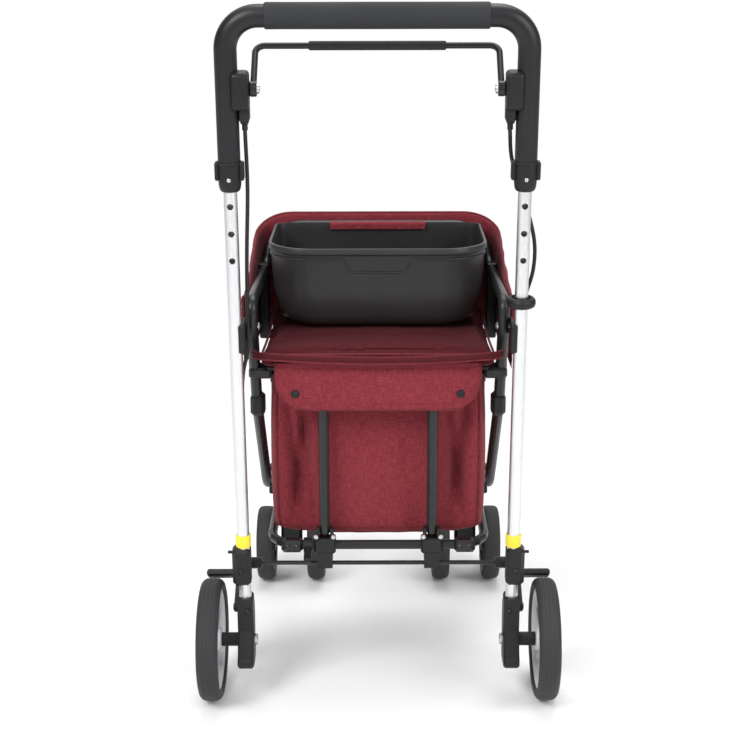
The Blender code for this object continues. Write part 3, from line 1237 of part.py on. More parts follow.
def base_tube(floor):
    """U tube under the bag with its corner brackets; return the empty it turns with."""
    carrier = empty("base_frame", floor, (0, BASE_PIVOT_Y, BASE_Z))
    reach = BASE_REAR_Y - BASE_PIVOT_Y
    corners = [(BASE_X, 0.010, 0), (BASE_X, reach, 0), (-BASE_X, reach, 0), (-BASE_X, 0.010, 0)]
    path = rounded_path(corners, [BASE_CORNER_R] * 2, 22.5)
    made = finish("base_tube", swept(path, BASE_R, 12), "black_paint", BLACK_PAINT, carrier)
    hole = rod(BASE_BOLT_R + RUNNING, (BASE_X - 0.02, 0, 0), (BASE_X + 0.02, 0, 0), 8)
    cut(made, mirror_copy(hole))
    angle = block((0.028, 0.019, 0.017), (CORNER_BRACKET_X, reach - 0.0008, 0), 0.004)
    unite(made, mirror_copy(angle))
    for offset in (-0.006, 0.006):
        place = (CORNER_BRACKET_X + offset, reach - 0.0103, 0.001)
        unite(made, mirror_copy(bolt_head(place, 0.003, 0.0018)))
    return carrier


def stay_clevis(side, carrier):
    """Saddle on the base tube: ears and pin for a stay, and a hook for the cross rod."""
    reach = BASE_REAR_Y - BASE_PIVOT_Y
    ear_gap = STAY_D + 2 * RUNNING
    rod_drop = BASE_Z - ROD_Z
    bm = sided(block((CLEVIS_W, 0.024, 0.022), (STAY_X, reach, 0.001), 0.003), side)
    made = finish("stay_clevis_" + side_name(side), bm, "black_plastic", BLACK_PLASTIC, carrier)
    for turn in (-1, 1):
        ear_x = STAY_X + turn * (ear_gap + EAR_T) / 2
        outline = [(reach - 0.0095, 0.004), (reach + 0.0095, 0.004)]
        outline += arc((reach, STAY_PIVOT_RISE), 0.008, 0, 180, 5)
        unite(made, sided(plate(outline, EAR_T, ear_x), side))
    rod_y = reach + ROD_Y - BASE_REAR_Y
    roof = -rod_drop + ROD_D / 2 + 0.0024
    wall = rod_y - ROD_D / 2 - 0.0030
    hook = [(reach + 0.0095, -0.004), (reach + 0.0095, roof), (wall, roof), (wall, -rod_drop - 0.004),
            (reach - 0.0105, -rod_drop - 0.004), (reach - 0.0105, -0.004)]
    unite(made, sided(plate(hook, CLEVIS_W - 0.009, STAY_X), side))
    bore = rod(BASE_R + GAP, (STAY_X - 0.03, reach, 0), (STAY_X + 0.03, reach, 0), 12)
    cut(made, sided(bore, side))
    half = ear_gap / 2 + EAR_T
    profile = [(0.0, -half - 0.0018), (0.0038, -half - 0.0012), (0.0042, -half + 0.0005),
               (STAY_PIN_R, -half + 0.0005), (STAY_PIN_R, half - 0.0005), (0.0042, half - 0.0005),
               (0.0038, half + 0.0012), (0.0, half + 0.0018)]
    pin = turned_solid(profile, (STAY_X, reach, STAY_PIVOT_RISE), "X", 8)
    unite(made, sided(pin, side))


def release_lever(carrier):
    """Round-ended lever on the base tube that frees the hooks."""
    reach = BASE_REAR_Y - BASE_PIVOT_Y
    origin = (-LEVER_X, reach, 0)
    wall = BASE_R + 0.0035
    ring = [(BASE_R + RUNNING, -0.006), (wall, -0.006), (wall, 0.006), (BASE_R + RUNNING, 0.006)]
    made = finish("release_lever", turned(ring, origin, "X", 14), "black_plastic", BLACK_PLASTIC,
                  carrier, origin)
    outline = [(reach - wall + 0.0015, -0.007), (reach - wall + 0.0015, 0.001)]
    outline += arc((reach - 0.026, -0.012), 0.004, 90, 250, 6)
    unite(made, plate(outline, 0.010, origin[0], 0.001))


def stay(side, carrier):
    """Upright stay behind the pocket flap, turning in its clevis."""
    reach = BASE_REAR_Y - BASE_PIVOT_Y
    origin = (side * STAY_X, reach, STAY_PIVOT_RISE)
    radius = STAY_D / 2
    low = STAY_PIVOT_RISE - radius
    high = STAY_TOP - BASE_Z
    profile = [(0.0, low)]
    profile += [(radius * math.sin(math.radians(turn)), STAY_PIVOT_RISE - radius * math.cos(math.radians(turn)))
                for turn in (40, 70, 90)]
    profile += [(radius, high - 0.004), (radius - 0.0015, high - 0.001), (0.0, high)]
    bm = turned_solid(profile, (side * STAY_X, reach, 0), "Z", 12)
    made = finish("bag_stay_" + side_name(side), bm, "black_paint", BLACK_PAINT, carrier, origin)
    hole = rod(STAY_PIN_R + RUNNING, (side * STAY_X - 0.03, reach, STAY_PIVOT_RISE),
               (side * STAY_X + 0.03, reach, STAY_PIVOT_RISE), 8)
    cut(made, hole)


def build():
    """Build the rollator."""
    clear_scene()
    floor = empty("axle_on_floor", None, (0, LENGTH_SHIFT, 0))
    legs = empty("leaning_legs", floor, (0, 0, REAR_WHEEL_R), LEAN)
    cross_rod(legs)
    cable_ring(legs)
    handle(legs)
    brake_bar(legs)
    backrest_hoop(floor)
    cross_tube(floor)
    bag_rail(floor)
    seat(floor)
    bag(floor)
    pocket_flap(floor)
    backrest_hood(floor)
    tray(floor)
    tray_strap(floor)
    carrier = base_tube(floor)
    release_lever(carrier)
    for side in (-1, 1):
        for leg_piece in (leg, hinge_plate, leg_bracket, cable_collar, wheel_bracket, rear_axle,
                          brake_arm, handle_collar, snap_button, brake_housing, brake_cable):
            leg_piece(side, legs)
        for upright_piece in (rear_wheel, front_leg, knuckle, caster_housing, caster):
            upright_piece(side, floor)
        stay_clevis(side, carrier)
        stay(side, carrier)


build()
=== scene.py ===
"""Looks of a shopping rollator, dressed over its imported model.

Metres, +Z up, +Y is the way it travels, +X is the user's right. Every piece sits at
the origin with its place in its mesh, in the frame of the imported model.
"""

from __future__ import annotations

import json
import logging
import math
from dataclasses import dataclass, field
from enum import Enum
from typing import Callable, ClassVar, Iterable, Sequence

import bmesh
import bpy
from mathutils import Matrix, Vector, noise

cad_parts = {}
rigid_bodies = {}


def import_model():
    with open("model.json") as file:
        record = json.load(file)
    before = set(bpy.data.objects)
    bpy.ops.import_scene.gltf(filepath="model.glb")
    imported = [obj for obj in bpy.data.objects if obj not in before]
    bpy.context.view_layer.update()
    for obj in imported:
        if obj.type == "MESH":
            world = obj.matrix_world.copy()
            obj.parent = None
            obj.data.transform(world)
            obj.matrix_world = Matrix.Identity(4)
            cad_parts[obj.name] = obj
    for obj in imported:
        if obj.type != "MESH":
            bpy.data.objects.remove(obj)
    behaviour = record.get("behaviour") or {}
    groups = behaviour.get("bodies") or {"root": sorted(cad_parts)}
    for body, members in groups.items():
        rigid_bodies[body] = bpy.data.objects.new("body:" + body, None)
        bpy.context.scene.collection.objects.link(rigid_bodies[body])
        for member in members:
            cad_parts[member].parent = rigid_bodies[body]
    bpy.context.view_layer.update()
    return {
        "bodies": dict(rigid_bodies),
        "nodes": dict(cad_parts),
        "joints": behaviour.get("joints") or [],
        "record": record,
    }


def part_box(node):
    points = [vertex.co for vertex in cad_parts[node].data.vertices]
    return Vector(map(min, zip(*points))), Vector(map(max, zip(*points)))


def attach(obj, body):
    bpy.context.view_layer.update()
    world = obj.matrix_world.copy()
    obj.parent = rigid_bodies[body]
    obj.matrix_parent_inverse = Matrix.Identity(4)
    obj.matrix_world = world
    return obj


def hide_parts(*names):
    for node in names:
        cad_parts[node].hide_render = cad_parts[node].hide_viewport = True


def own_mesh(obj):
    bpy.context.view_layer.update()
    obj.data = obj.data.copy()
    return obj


LOG = logging.getLogger("rollator")

Mesh = bmesh.types.BMesh
Object = bpy.types.Object
Socket = bpy.types.NodeSocket
Colour = tuple[float, float, float]

# The frame of the rollator, in metres.
AXLE_Y = -0.19
AXLE_Z = 0.084
LEAN = math.radians(4.5)
LEG_X = 0.183
SIDE_X = LEG_X - 0.0178
BAR_RADIUS = 0.0075
LEVER_X = LEG_X - 0.032
LEVER_PIVOT = (0.005, 0.763)
CORD = 0.0017
WELD = 1e-6
# Edges sharper than these angles in degrees stay sharp.
MOULD_CREASE = 30.0
PLAIN_CREASE = 35.0
TRAY_CREASE = 40.0
TYRE_CREASE = 50.0
CLOTH_CREASE = 60.0
CORD_CREASE = 70.0
PAD_CREASE = 80.0


class Side(Enum):
    """The user's left or right."""

    LEFT = -1
    RIGHT = 1

    @property
    def word(self) -> str:
        """Return the side as it is written in the names of the nodes."""
        return self.name.lower()

    @property
    def sign(self) -> int:
        """Return the sign of X on this side."""
        return self.value


class Axis(Enum):
    """The direction that a turned piece is turned about."""

    X = "X"
    Y = "Y"
    Z = "Z"


def on_leg(x: float, y: float, z: float) -> Vector:
    """Return the place of a point that is given along the leaning legs.

    Args:
        x: Sideways from the middle.
        y: Ahead of the leg's line.
        z: Up the leg from the rear axle.

    Returns:
        The point in the model's frame.
    """
    return Vector((x, y * math.cos(LEAN) - z * math.sin(LEAN) + AXLE_Y,
                   y * math.sin(LEAN) + z * math.cos(LEAN) + AXLE_Z))


def from_axle(x: float, y: float, z: float) -> Vector:
    """Return the place of a point whose Y is counted from the rear axle and Z from the floor."""
    return Vector((x, y + AXLE_Y, z))


# Materials


class Wiring:
    """Adds nodes to one tree and links them."""

    def __init__(self, tree: bpy.types.NodeTree) -> None:
        """Keep the tree."""
        self.tree = tree

    def add(self, kind: str, settings: dict[str, object] | None = None,
            **inputs: object) -> bpy.types.Node:
        """Add a node and fill its sockets.

        Args:
            kind: The node's type without the word ShaderNode.
            settings: Properties of the node itself.
            inputs: Values or output sockets by socket name, with _ for a space.

        Returns:
            The new node.
        """
        made = self.tree.nodes.new("ShaderNode" + kind)
        for name, value in (settings or {}).items():
            setattr(made, name, value)
        for name, value in inputs.items():
            self.fill(made.inputs[name.replace("_", " ")], value)
        return made

    def fill(self, socket: Socket, value: object) -> None:
        """Link an output to a socket, or set the socket's own value."""
        if isinstance(value, Socket):
            self.tree.links.new(value, socket)
        else:
            socket.default_value = value

    def sum(self, operation: str, first: object, second: object = 0.0) -> Socket:
        """Return the output of a Math node."""
        made = self.add("Math", {"operation": operation})
        self.fill(made.inputs[0], first)
        self.fill(made.inputs[1], second)
        return made.outputs[0]

    def mix(self, share: object, first: object, second: object) -> Socket:
        """Return the blend of two colours."""
        made = self.add("Mix", {"data_type": "RGBA"})
        self.fill(made.inputs[0], share)
        self.fill(made.inputs[6], first)
        self.fill(made.inputs[7], second)
        return made.outputs[2]

    def times(self, first: object, second: object) -> Socket:
        """Return the product of two values."""
        return self.sum("MULTIPLY", first, second)

    def white(self, strength: object) -> Socket:
        """Return a white background."""
        made = self.add("Background", None, Color=(1.0, 1.0, 1.0, 1.0), Strength=strength)
        return made.outputs[0]

    def either(self, share: object, first: object, second: object) -> Socket:
        """Return the mix of two shaders."""
        made = self.add("MixShader")
        for index, value in enumerate((share, first, second)):
            self.fill(made.inputs[index], value)
        return made.outputs[0]

    def span(self, value: object, low: float, high: float, start: float = 0.0,
             end: float = 1.0) -> Socket:
        """Return a value stretched from start..end to low..high."""
        made = self.add("MapRange", {"clamp": True}, From_Min=start, From_Max=end,
                        To_Min=low, To_Max=high)
        self.fill(made.inputs[0], value)
        return made.outputs[0]

    def stretched(self, source: object, scale: Sequence[float],
                  turn: float = 0.0) -> Socket:
        """Return coordinates scaled by axis and turned about Z."""
        made = self.add("Mapping", None, Vector=source, Scale=tuple(scale),
                        Rotation=(0.0, 0.0, turn))
        return made.outputs[0]

    def cloudy(self, where: object, scale: object, detail: float = 3.0) -> Socket:
        """Return noise between 0 and 1."""
        return self.add("TexNoise", None, Vector=where, Scale=scale, Detail=detail).outputs[0]


class Effects:
    """Node groups that several finishes share, each built once."""

    THREAD_NOISE: ClassVar[float] = 900.0
    THREAD_STRETCH: ClassVar[float] = 0.09

    @staticmethod
    def start(name: str, inputs: dict[str, tuple[str, float]],
              outputs: Iterable[str]) -> tuple[bpy.types.NodeTree, Wiring, bool]:
        """Find or open a node group.

        Args:
            name: The group's name.
            inputs: Socket type and default by socket name.
            outputs: Names of the value sockets that come out.

        Returns:
            The group, its wiring, and whether it still has to be filled.
        """
        found = bpy.data.node_groups.get(name)
        if found:
            return found, Wiring(found), False
        made = bpy.data.node_groups.new(name, "ShaderNodeTree")
        for socket, (kind, value) in inputs.items():
            item = made.interface.new_socket(name=socket, in_out="INPUT", socket_type=kind)
            if kind == "NodeSocketFloat":
                item.default_value = value
        for socket in outputs:
            made.interface.new_socket(name=socket, in_out="OUTPUT", socket_type="NodeSocketFloat")
        made.nodes.new("NodeGroupInput")
        made.nodes.new("NodeGroupOutput")
        return made, Wiring(made), True

    @classmethod
    def grain(cls) -> bpy.types.NodeTree:
        """Return fine pebbled moulding: Height, and a slow Tone over the piece."""
        tree, wire, empty = cls.start("moulded_grain", {"Vector": ("NodeSocketVector", 0.0),
                                                        "Cells": ("NodeSocketFloat", 900.0)},
                                      ("Height", "Tone"))
        if empty:
            given = tree.nodes["Group Input"].outputs
            out = tree.nodes["Group Output"].inputs
            cells = wire.add("TexVoronoi", {"feature": "SMOOTH_F1"}, Vector=given["Vector"],
                             Scale=given["Cells"])
            fine = wire.cloudy(given["Vector"], given["Cells"], 2.0)
            wire.fill(out["Height"], wire.sum("ADD", cells.outputs["Distance"], fine))
            wire.fill(out["Tone"], wire.cloudy(given["Vector"], 14.0, 4.0))
        return tree

    @classmethod
    def brushing(cls) -> bpy.types.NodeTree:
        """Return drawn-tube streaks along Z: Streak, and a slow Smudge."""
        tree, wire, empty = cls.start("drawn_streaks", {"Vector": ("NodeSocketVector", 0.0)},
                                      ("Streak", "Smudge"))
        if empty:
            given = tree.nodes["Group Input"].outputs["Vector"]
            out = tree.nodes["Group Output"].inputs
            long = wire.stretched(given, (1.0, 1.0, 0.012))
            wire.fill(out["Streak"], wire.cloudy(long, 900.0, 2.0))
            wire.fill(out["Smudge"],
                      wire.cloudy(wire.stretched(given, (1.0, 1.0, 0.35)), 30.0, 4.0))
        return tree

    @classmethod
    def weave(cls) -> bpy.types.NodeTree:
        """Return a plain weave on UVs in metres: Height, thread Tone, and slow Fade."""
        tree, wire, empty = cls.start("plain_weave", {"Vector": ("NodeSocketVector", 0.0),
                                                      "Threads": ("NodeSocketFloat", 1400.0)},
                                      ("Height", "Tone", "Fade"))
        if empty:
            given = tree.nodes["Group Input"].outputs
            out = tree.nodes["Group Output"].inputs
            split = wire.add("SeparateXYZ", None, Vector=given["Vector"])
            across = wire.times(split.outputs["X"], given["Threads"])
            along = wire.times(split.outputs["Y"], given["Threads"])
            cell = wire.sum("ADD", wire.sum("FLOOR", across), wire.sum("FLOOR", along))
            parity = wire.sum("MODULO", wire.sum("ABSOLUTE", cell), 2.0)
            warp = wire.sum("ABSOLUTE", wire.sum("SINE", wire.times(across, math.pi)))
            weft = wire.sum("ABSOLUTE", wire.sum("SINE", wire.times(along, math.pi)))
            over = wire.times(warp, parity)
            under = wire.times(weft, wire.sum("SUBTRACT", 1.0, parity))
            wire.fill(out["Height"], wire.sum("ADD", over, under))
            lengthways = wire.cloudy(wire.stretched(given["Vector"], (1.0, cls.THREAD_STRETCH, 1.0)),
                                     cls.THREAD_NOISE, 2.0)
            crossways = wire.cloudy(wire.stretched(given["Vector"], (cls.THREAD_STRETCH, 1.0, 1.0)),
                                    cls.THREAD_NOISE, 2.0)
            first = wire.times(lengthways, parity)
            second = wire.times(crossways, wire.sum("SUBTRACT", 1.0, parity))
            wire.fill(out["Tone"], wire.sum("ADD", first, second))
            wire.fill(out["Fade"], wire.cloudy(given["Vector"], 9.0, 5.0))
        return tree

    @classmethod
    def wear(cls) -> bpy.types.NodeTree:
        """Return a Mask of rubbed edges: convex places that a patchy noise lets through."""
        tree, wire, empty = cls.start("rubbed_edges", {"Vector": ("NodeSocketVector", 0.0),
                                                       "Amount": ("NodeSocketFloat", 0.5)},
                                      ("Mask",))
        if empty:
            given = tree.nodes["Group Input"].outputs
            out = tree.nodes["Group Output"].inputs
            edge = wire.span(wire.add("NewGeometry").outputs["Pointiness"], 0.0, 1.0, 0.53, 0.62)
            patch = wire.span(wire.cloudy(given["Vector"], 120.0, 4.0), 0.0, 1.0, 0.48, 0.68)
            wire.fill(out["Mask"], wire.times(wire.times(edge, patch), given["Amount"]))
        return tree


@dataclass(frozen=True)
class Finish:
    """One finish of the rollator, as a procedural material.

    Attributes:
        name: The material's name.
        slot: The record's slot that it stands for; not used.
        colour: Its base colour.
        roughness: Its roughness in the middle of its range.
    """

    name: str
    slot: str
    colour: Colour
    roughness: float

    def material(self) -> bpy.types.Material:
        """Return the material, built the first time it is asked for."""
        found = bpy.data.materials.get(self.name)
        if found:
            return found
        made = bpy.data.materials.new(self.name)
        made.use_nodes = True
        shader = made.node_tree.nodes["Principled BSDF"]
        shader.inputs["Base Color"].default_value = (*self.colour, 1.0)
        shader.inputs["Roughness"].default_value = self.roughness
        self.dress(Wiring(made.node_tree), shader)
        return made

    def dress(self, wire: Wiring, shader: bpy.types.Node) -> None:
        """Wire the pattern into the shader."""
        raise NotImplementedError

    def group(self, wire: Wiring, tree: bpy.types.NodeTree, **inputs: object) -> bpy.types.Node:
        """Place a shared group in the material."""
        made = wire.add("Group", {"node_tree": tree})
        for name, value in inputs.items():
            wire.fill(made.inputs[name], value)
        return made

    def bump(self, wire: Wiring, shader: bpy.types.Node, height: object, strength: float,
             distance: float) -> None:
        """Raise the surface by a height pattern."""
        made = wire.add("Bump", None, Strength=strength, Distance=distance, Height=height)
        wire.fill(shader.inputs["Normal"], made.outputs["Normal"])

    def shade(self, wire: Wiring, share: object, dark: float, light: float) -> object:
        """Return the base colour between a darker and a lighter tone of itself."""
        low = tuple(part * dark for part in self.colour) + (1.0,)
        high = tuple(min(part * light, 1.0) for part in self.colour) + (1.0,)
        return wire.mix(share, low, high)


@dataclass(frozen=True)
class Moulded(Finish):
    """Moulded plastic, paint or rubber with a pebbled grain and rubbed edges."""

    cells: float = 900.0
    relief: float = 0.25
    spread: float = 0.08
    rubbed: Colour = (0.16, 0.16, 0.165)
    wear: float = 0.12
    coat: float = 0.0
    metal: float = 0.0
    specular: float = 0.5

    def dress(self, wire: Wiring, shader: bpy.types.Node) -> None:
        """Wire grain, tone and rubbed edges."""
        where = wire.add("TexCoord").outputs["Object"]
        grain = self.group(wire, Effects.grain(), Vector=where, Cells=self.cells)
        worn = self.group(wire, Effects.wear(), Vector=where, Amount=self.wear)
        tone = self.shade(wire, grain.outputs["Tone"], 0.88, 1.12)
        wire.fill(shader.inputs["Base Color"],
                  wire.mix(worn.outputs["Mask"], tone, (*self.rubbed, 1.0)))
        low = self.roughness - self.spread
        high = self.roughness + self.spread
        wire.fill(shader.inputs["Roughness"],
                  wire.span(grain.outputs["Tone"], low, high, 0.3, 0.7))
        shader.inputs["Metallic"].default_value = self.metal
        shader.inputs["Coat Weight"].default_value = self.coat
        shader.inputs["Coat Roughness"].default_value = 0.22
        shader.inputs["Specular IOR Level"].default_value = self.specular
        self.bump(wire, shader, grain.outputs["Height"], self.relief, 0.00025)


@dataclass(frozen=True)
class Drawn(Finish):
    """Bare metal, drawn or rolled lengthways."""

    streaks: float = 0.1

    def dress(self, wire: Wiring, shader: bpy.types.Node) -> None:
        """Wire streaks into roughness, tone and relief."""
        where = wire.add("TexCoord").outputs["Object"]
        drawn = self.group(wire, Effects.brushing(), Vector=where)
        wire.fill(shader.inputs["Base Color"],
                  self.shade(wire, drawn.outputs["Smudge"], 0.9, 1.06))
        rough = wire.span(drawn.outputs["Streak"], self.roughness - self.streaks,
                          self.roughness + self.streaks, 0.3, 0.7)
        wire.fill(shader.inputs["Roughness"], rough)
        shader.inputs["Metallic"].default_value = 1.0
        self.bump(wire, shader, drawn.outputs["Streak"], 0.12, 0.0001)


@dataclass(frozen=True)
class Woven(Finish):
    """Woven cloth of two thread colours, read from UVs in metres."""

    light: Colour = (0.4, 0.085, 0.1)
    threads: float = 1400.0
    relief: float = 0.45
    sheen: float = 0.35

    def dress(self, wire: Wiring, shader: bpy.types.Node) -> None:
        """Wire the weave, the flecked threads and the fading."""
        where = wire.add("UVMap", {"uv_map": "cloth"}).outputs["UV"]
        cloth = self.group(wire, Effects.weave(), Vector=where, Threads=self.threads)
        flecked = wire.mix(wire.span(cloth.outputs["Tone"], 0.0, 1.0, 0.36, 0.66),
                           (*self.colour, 1.0), (*self.light, 1.0))
        faded = wire.mix(wire.span(cloth.outputs["Fade"], 0.0, 0.22, 0.35, 0.75), flecked,
                         (*self.light, 1.0))
        wire.fill(shader.inputs["Base Color"], faded)
        shader.inputs["Sheen Weight"].default_value = self.sheen
        shader.inputs["Sheen Roughness"].default_value = 0.45
        shader.inputs["Specular IOR Level"].default_value = 0.25
        wire.fill(shader.inputs["Roughness"], wire.span(cloth.outputs["Tone"], 0.78, 0.95))
        self.bump(wire, shader, cloth.outputs["Height"], self.relief, 0.0003)


class Finishes:
    """Every finish on the rollator."""

    ALUMINIUM = Drawn("drawn aluminium", "aluminium", (0.74, 0.75, 0.76), 0.38)
    STEEL = Drawn("zinc plated steel", "steel", (0.58, 0.58, 0.59), 0.28, streaks=0.06)
    PAINT = Moulded("black powder coat", "black_paint", (0.01, 0.01, 0.011), 0.34,
                    cells=520.0, relief=0.1, rubbed=(0.06, 0.06, 0.062), coat=0.1, specular=0.35)
    HANDLE_PAINT = Moulded("matt handle coat", "black_paint", (0.011, 0.0113, 0.0128), 0.4,
                           cells=700.0, relief=0.15, rubbed=(0.06, 0.06, 0.062), specular=0.32)
    PLASTIC = Moulded("black moulded plastic", "black_plastic", (0.0085, 0.0085, 0.0095), 0.46,
                      cells=1100.0, relief=0.3, rubbed=(0.05, 0.05, 0.052), specular=0.32)
    TRAY = Moulded("grey-black tray plastic", "tray_plastic", (0.024, 0.023, 0.025), 0.38,
                   cells=1300.0, relief=0.22, spread=0.06, rubbed=(0.06, 0.06, 0.062),
                   specular=0.36)
    FOAM = Moulded("grip foam", "foam", (0.023, 0.024, 0.026), 0.72, cells=650.0, relief=0.55,
                   rubbed=(0.06, 0.06, 0.062), specular=0.3)
    RUBBER = Moulded("tyre rubber", "rubber", (0.028, 0.028, 0.03), 0.66, cells=800.0,
                     relief=0.3, rubbed=(0.08, 0.078, 0.075), wear=0.3, specular=0.35)
    CABLE = Moulded("cable sleeve", "cable_rubber", (0.01, 0.01, 0.011), 0.42, cells=1500.0,
                    relief=0.12, rubbed=(0.05, 0.05, 0.05), specular=0.35)
    RIM = Moulded("pale rim plastic", "rim_plastic", (0.56, 0.57, 0.59), 0.38, cells=900.0,
                  relief=0.08, rubbed=(0.35, 0.35, 0.36), wear=0.2)
    YELLOW = Moulded("yellow plastic", "yellow_plastic", (0.86, 0.7, 0.04), 0.42, cells=1000.0,
                     relief=0.12, rubbed=(0.6, 0.48, 0.06), wear=0.2)
    RED_CLOTH = Woven("red flecked cloth", "red_fabric", (0.118, 0.008, 0.015), 0.86,
                      light=(0.285, 0.038, 0.05), sheen=0.07)
    RED_PIPING = Woven("red piping cloth", "red_fabric", (0.088, 0.007, 0.012), 0.82,
                       light=(0.22, 0.03, 0.04), threads=2200.0, sheen=0.08)
    # Painted shade: the red cloth made about three times darker for the seat cushion and its front
    # band, which lie in the tray's shadow.
    SEAT_CLOTH = Woven("deep red seat cloth", "red_fabric", (0.038, 0.002, 0.004), 0.66,
                       light=(0.098, 0.007, 0.012), threads=1800.0, relief=0.3, sheen=0.02)
    DARK_LINING = Woven("dark lining cloth", "red_fabric", (0.014, 0.01, 0.011), 0.9,
                        light=(0.034, 0.026, 0.028), sheen=0.02)
    BINDING = Woven("black binding tape", "red_fabric", (0.012, 0.012, 0.013), 0.85,
                    light=(0.032, 0.032, 0.034), threads=1800.0, sheen=0.02)


# Shapes


Reshape = Callable[[float, float], Vector]


class Shape:
    """Ways to start and finish a bmesh."""

    @staticmethod
    def block(size: Sequence[float], centre: Sequence[float], bevel: float,
              segments: int = 3) -> Mesh:
        """Return a box with rounded edges."""
        bm = bmesh.new()
        bmesh.ops.create_cube(bm, size=1.0)
        bmesh.ops.scale(bm, vec=size, verts=bm.verts)
        if bevel > 0.0:
            bmesh.ops.bevel(bm, geom=bm.edges[:], offset=bevel, offset_type="OFFSET",
                            affect="EDGES", segments=segments, profile=0.5, material=-1,
                            clamp_overlap=True)
        bmesh.ops.translate(bm, vec=centre, verts=bm.verts)
        return bm

    @staticmethod
    def turned(profile: Sequence[tuple[float, float]], centre: Sequence[float],
               axis: Axis = Axis.Z, steps: int = 64) -> Mesh:
        """Spin an outline into a round piece.

        Args:
            profile: Points of (radius, height) along the axis, from one end to the other.
            centre: Where the axis starts.
            axis: The direction of the axis.
            steps: Facets round the piece.

        Returns:
            The closed round mesh, facing out.
        """
        bm = bmesh.new()
        line = [bm.verts.new((radius, 0.0, height)) for radius, height in profile]
        edges = [bm.edges.new(pair) for pair in zip(line, line[1:])]
        bmesh.ops.spin(bm, geom=line + edges, cent=(0, 0, 0), axis=(0, 0, 1),
                       angle=math.tau, steps=steps, use_merge=True, use_duplicate=False)
        bmesh.ops.remove_doubles(bm, verts=bm.verts, dist=WELD)
        turn = {Axis.X: Matrix.Rotation(math.pi / 2, 3, "Y"), Axis.Z: Matrix.Identity(3),
                Axis.Y: Matrix.Rotation(-math.pi / 2, 3, "X")}[axis]
        bmesh.ops.transform(bm, matrix=turn.to_4x4(), verts=bm.verts)
        bmesh.ops.translate(bm, vec=centre, verts=bm.verts)
        bmesh.ops.recalc_face_normals(bm, faces=bm.faces)
        return bm

    @staticmethod
    def rounded(corners: Sequence[Vector], radii: Sequence[float],
                steps: int = 8) -> list[Vector]:
        """Return a path whose inner corners are rounded.

        Args:
            corners: The path's corners, ends included.
            radii: One radius for each inner corner.
            steps: Points on each arc.

        Returns:
            The points of the rounded path.
        """
        path = [Vector(corners[0])]
        for before, here, after, radius in zip(corners, corners[1:], corners[2:], radii):
            back = (Vector(before) - Vector(here)).normalized()
            ahead = (Vector(after) - Vector(here)).normalized()
            half = back.angle(ahead) / 2
            reach = radius / math.tan(half)
            start = Vector(here) + back * reach
            end = Vector(here) + ahead * reach
            middle = Vector(here) + (back + ahead).normalized() * (radius / math.sin(half))
            first = start - middle
            normal = first.cross(end - middle).normalized()
            total = first.angle(end - middle)
            for step in range(steps + 1):
                path.append(middle + Matrix.Rotation(total * step / steps, 3, normal) @ first)
        path.append(Vector(corners[-1]))
        return path

    @staticmethod
    def tube(path: Sequence[Vector], radius: float, sides: int = 24,
             flat: float = 1.0) -> Mesh:
        """Draw a round bar along a path.

        Args:
            path: Points of the middle line.
            radius: The bar's radius.
            sides: Facets round the bar.
            flat: Thickness of the section against its width.

        Returns:
            The closed bar with slightly rounded ends.
        """
        bm = bmesh.new()
        ring = bmesh.ops.create_circle(bm, cap_ends=True, radius=1.0, segments=sides)["verts"]
        ahead = (path[1] - path[0]).normalized()
        side = ahead.orthogonal().normalized()
        if abs(ahead.x) < 0.9:
            side = (Vector((1, 0, 0)) - ahead * ahead.x).normalized()
        frames: list[Matrix] = []
        for index, point in enumerate(path):
            before = path[max(index - 1, 0)]
            after = path[min(index + 1, len(path) - 1)]
            turned = (after - before).normalized()
            side = (side - turned * side.dot(turned)).normalized()
            up = turned.cross(side)
            spread = 1.0
            if 0 < index < len(path) - 1:
                bend = (point - before).angle(after - point, 0.0)
                spread = 1.0 / max(math.cos(bend / 2), 0.5)
            frame = Matrix((side * radius, up * radius * flat * spread, turned)).transposed()
            frames.append(Matrix.Translation(point) @ frame.to_4x4())
        bmesh.ops.transform(bm, matrix=frames[0], verts=ring)
        edges = bm.edges[:]
        placed = frames[0]
        for frame in frames[1:]:
            grown = bmesh.ops.extrude_edge_only(bm, edges=edges)["geom"]
            verts = [item for item in grown if isinstance(item, bmesh.types.BMVert)]
            edges = [item for item in grown if isinstance(item, bmesh.types.BMEdge)]
            bmesh.ops.transform(bm, matrix=frame @ placed.inverted(), verts=verts)
            placed = frame
        bmesh.ops.contextual_create(bm, geom=edges)
        bmesh.ops.recalc_face_normals(bm, faces=bm.faces)
        return bm

    @staticmethod
    def sheet(place: Reshape, width: float, length: float, columns: int, rows: int,
              wrap: bool = False) -> Mesh:
        """Lay a grid of cloth over a surface.

        Args:
            place: Gives the place of each point of the grid, from u and v in 0..1.
            width: Real width of the cloth, for the weave.
            length: Real length of the cloth.
            columns: Cells across.
            rows: Cells along.
            wrap: Whether the first column meets the last.

        Returns:
            The sheet, with UVs in metres.
        """
        bm = bmesh.new()
        bmesh.ops.create_grid(bm, x_segments=columns, y_segments=rows, size=0.5)
        layer = bm.loops.layers.uv.new("cloth")
        for face in bm.faces:
            for loop in face.loops:
                u, v = loop.vert.co.x + 0.5, loop.vert.co.y + 0.5
                loop[layer].uv = (u * width, v * length)
        for vert in bm.verts:
            vert.co = place(min(max(vert.co.x + 0.5, 0.0), 1.0),
                            min(max(vert.co.y + 0.5, 0.0), 1.0))
        if wrap:
            bmesh.ops.remove_doubles(bm, verts=bm.verts, dist=1e-5)
        return bm

    @staticmethod
    def symmetric(half: Sequence[tuple[float, float]]) -> list[tuple[float, float]]:
        """Return an outline closed by the mirror image of its first half."""
        whole = [*half, *((radius, -height) for radius, height in reversed(half))]
        return [*whole, whole[0]]

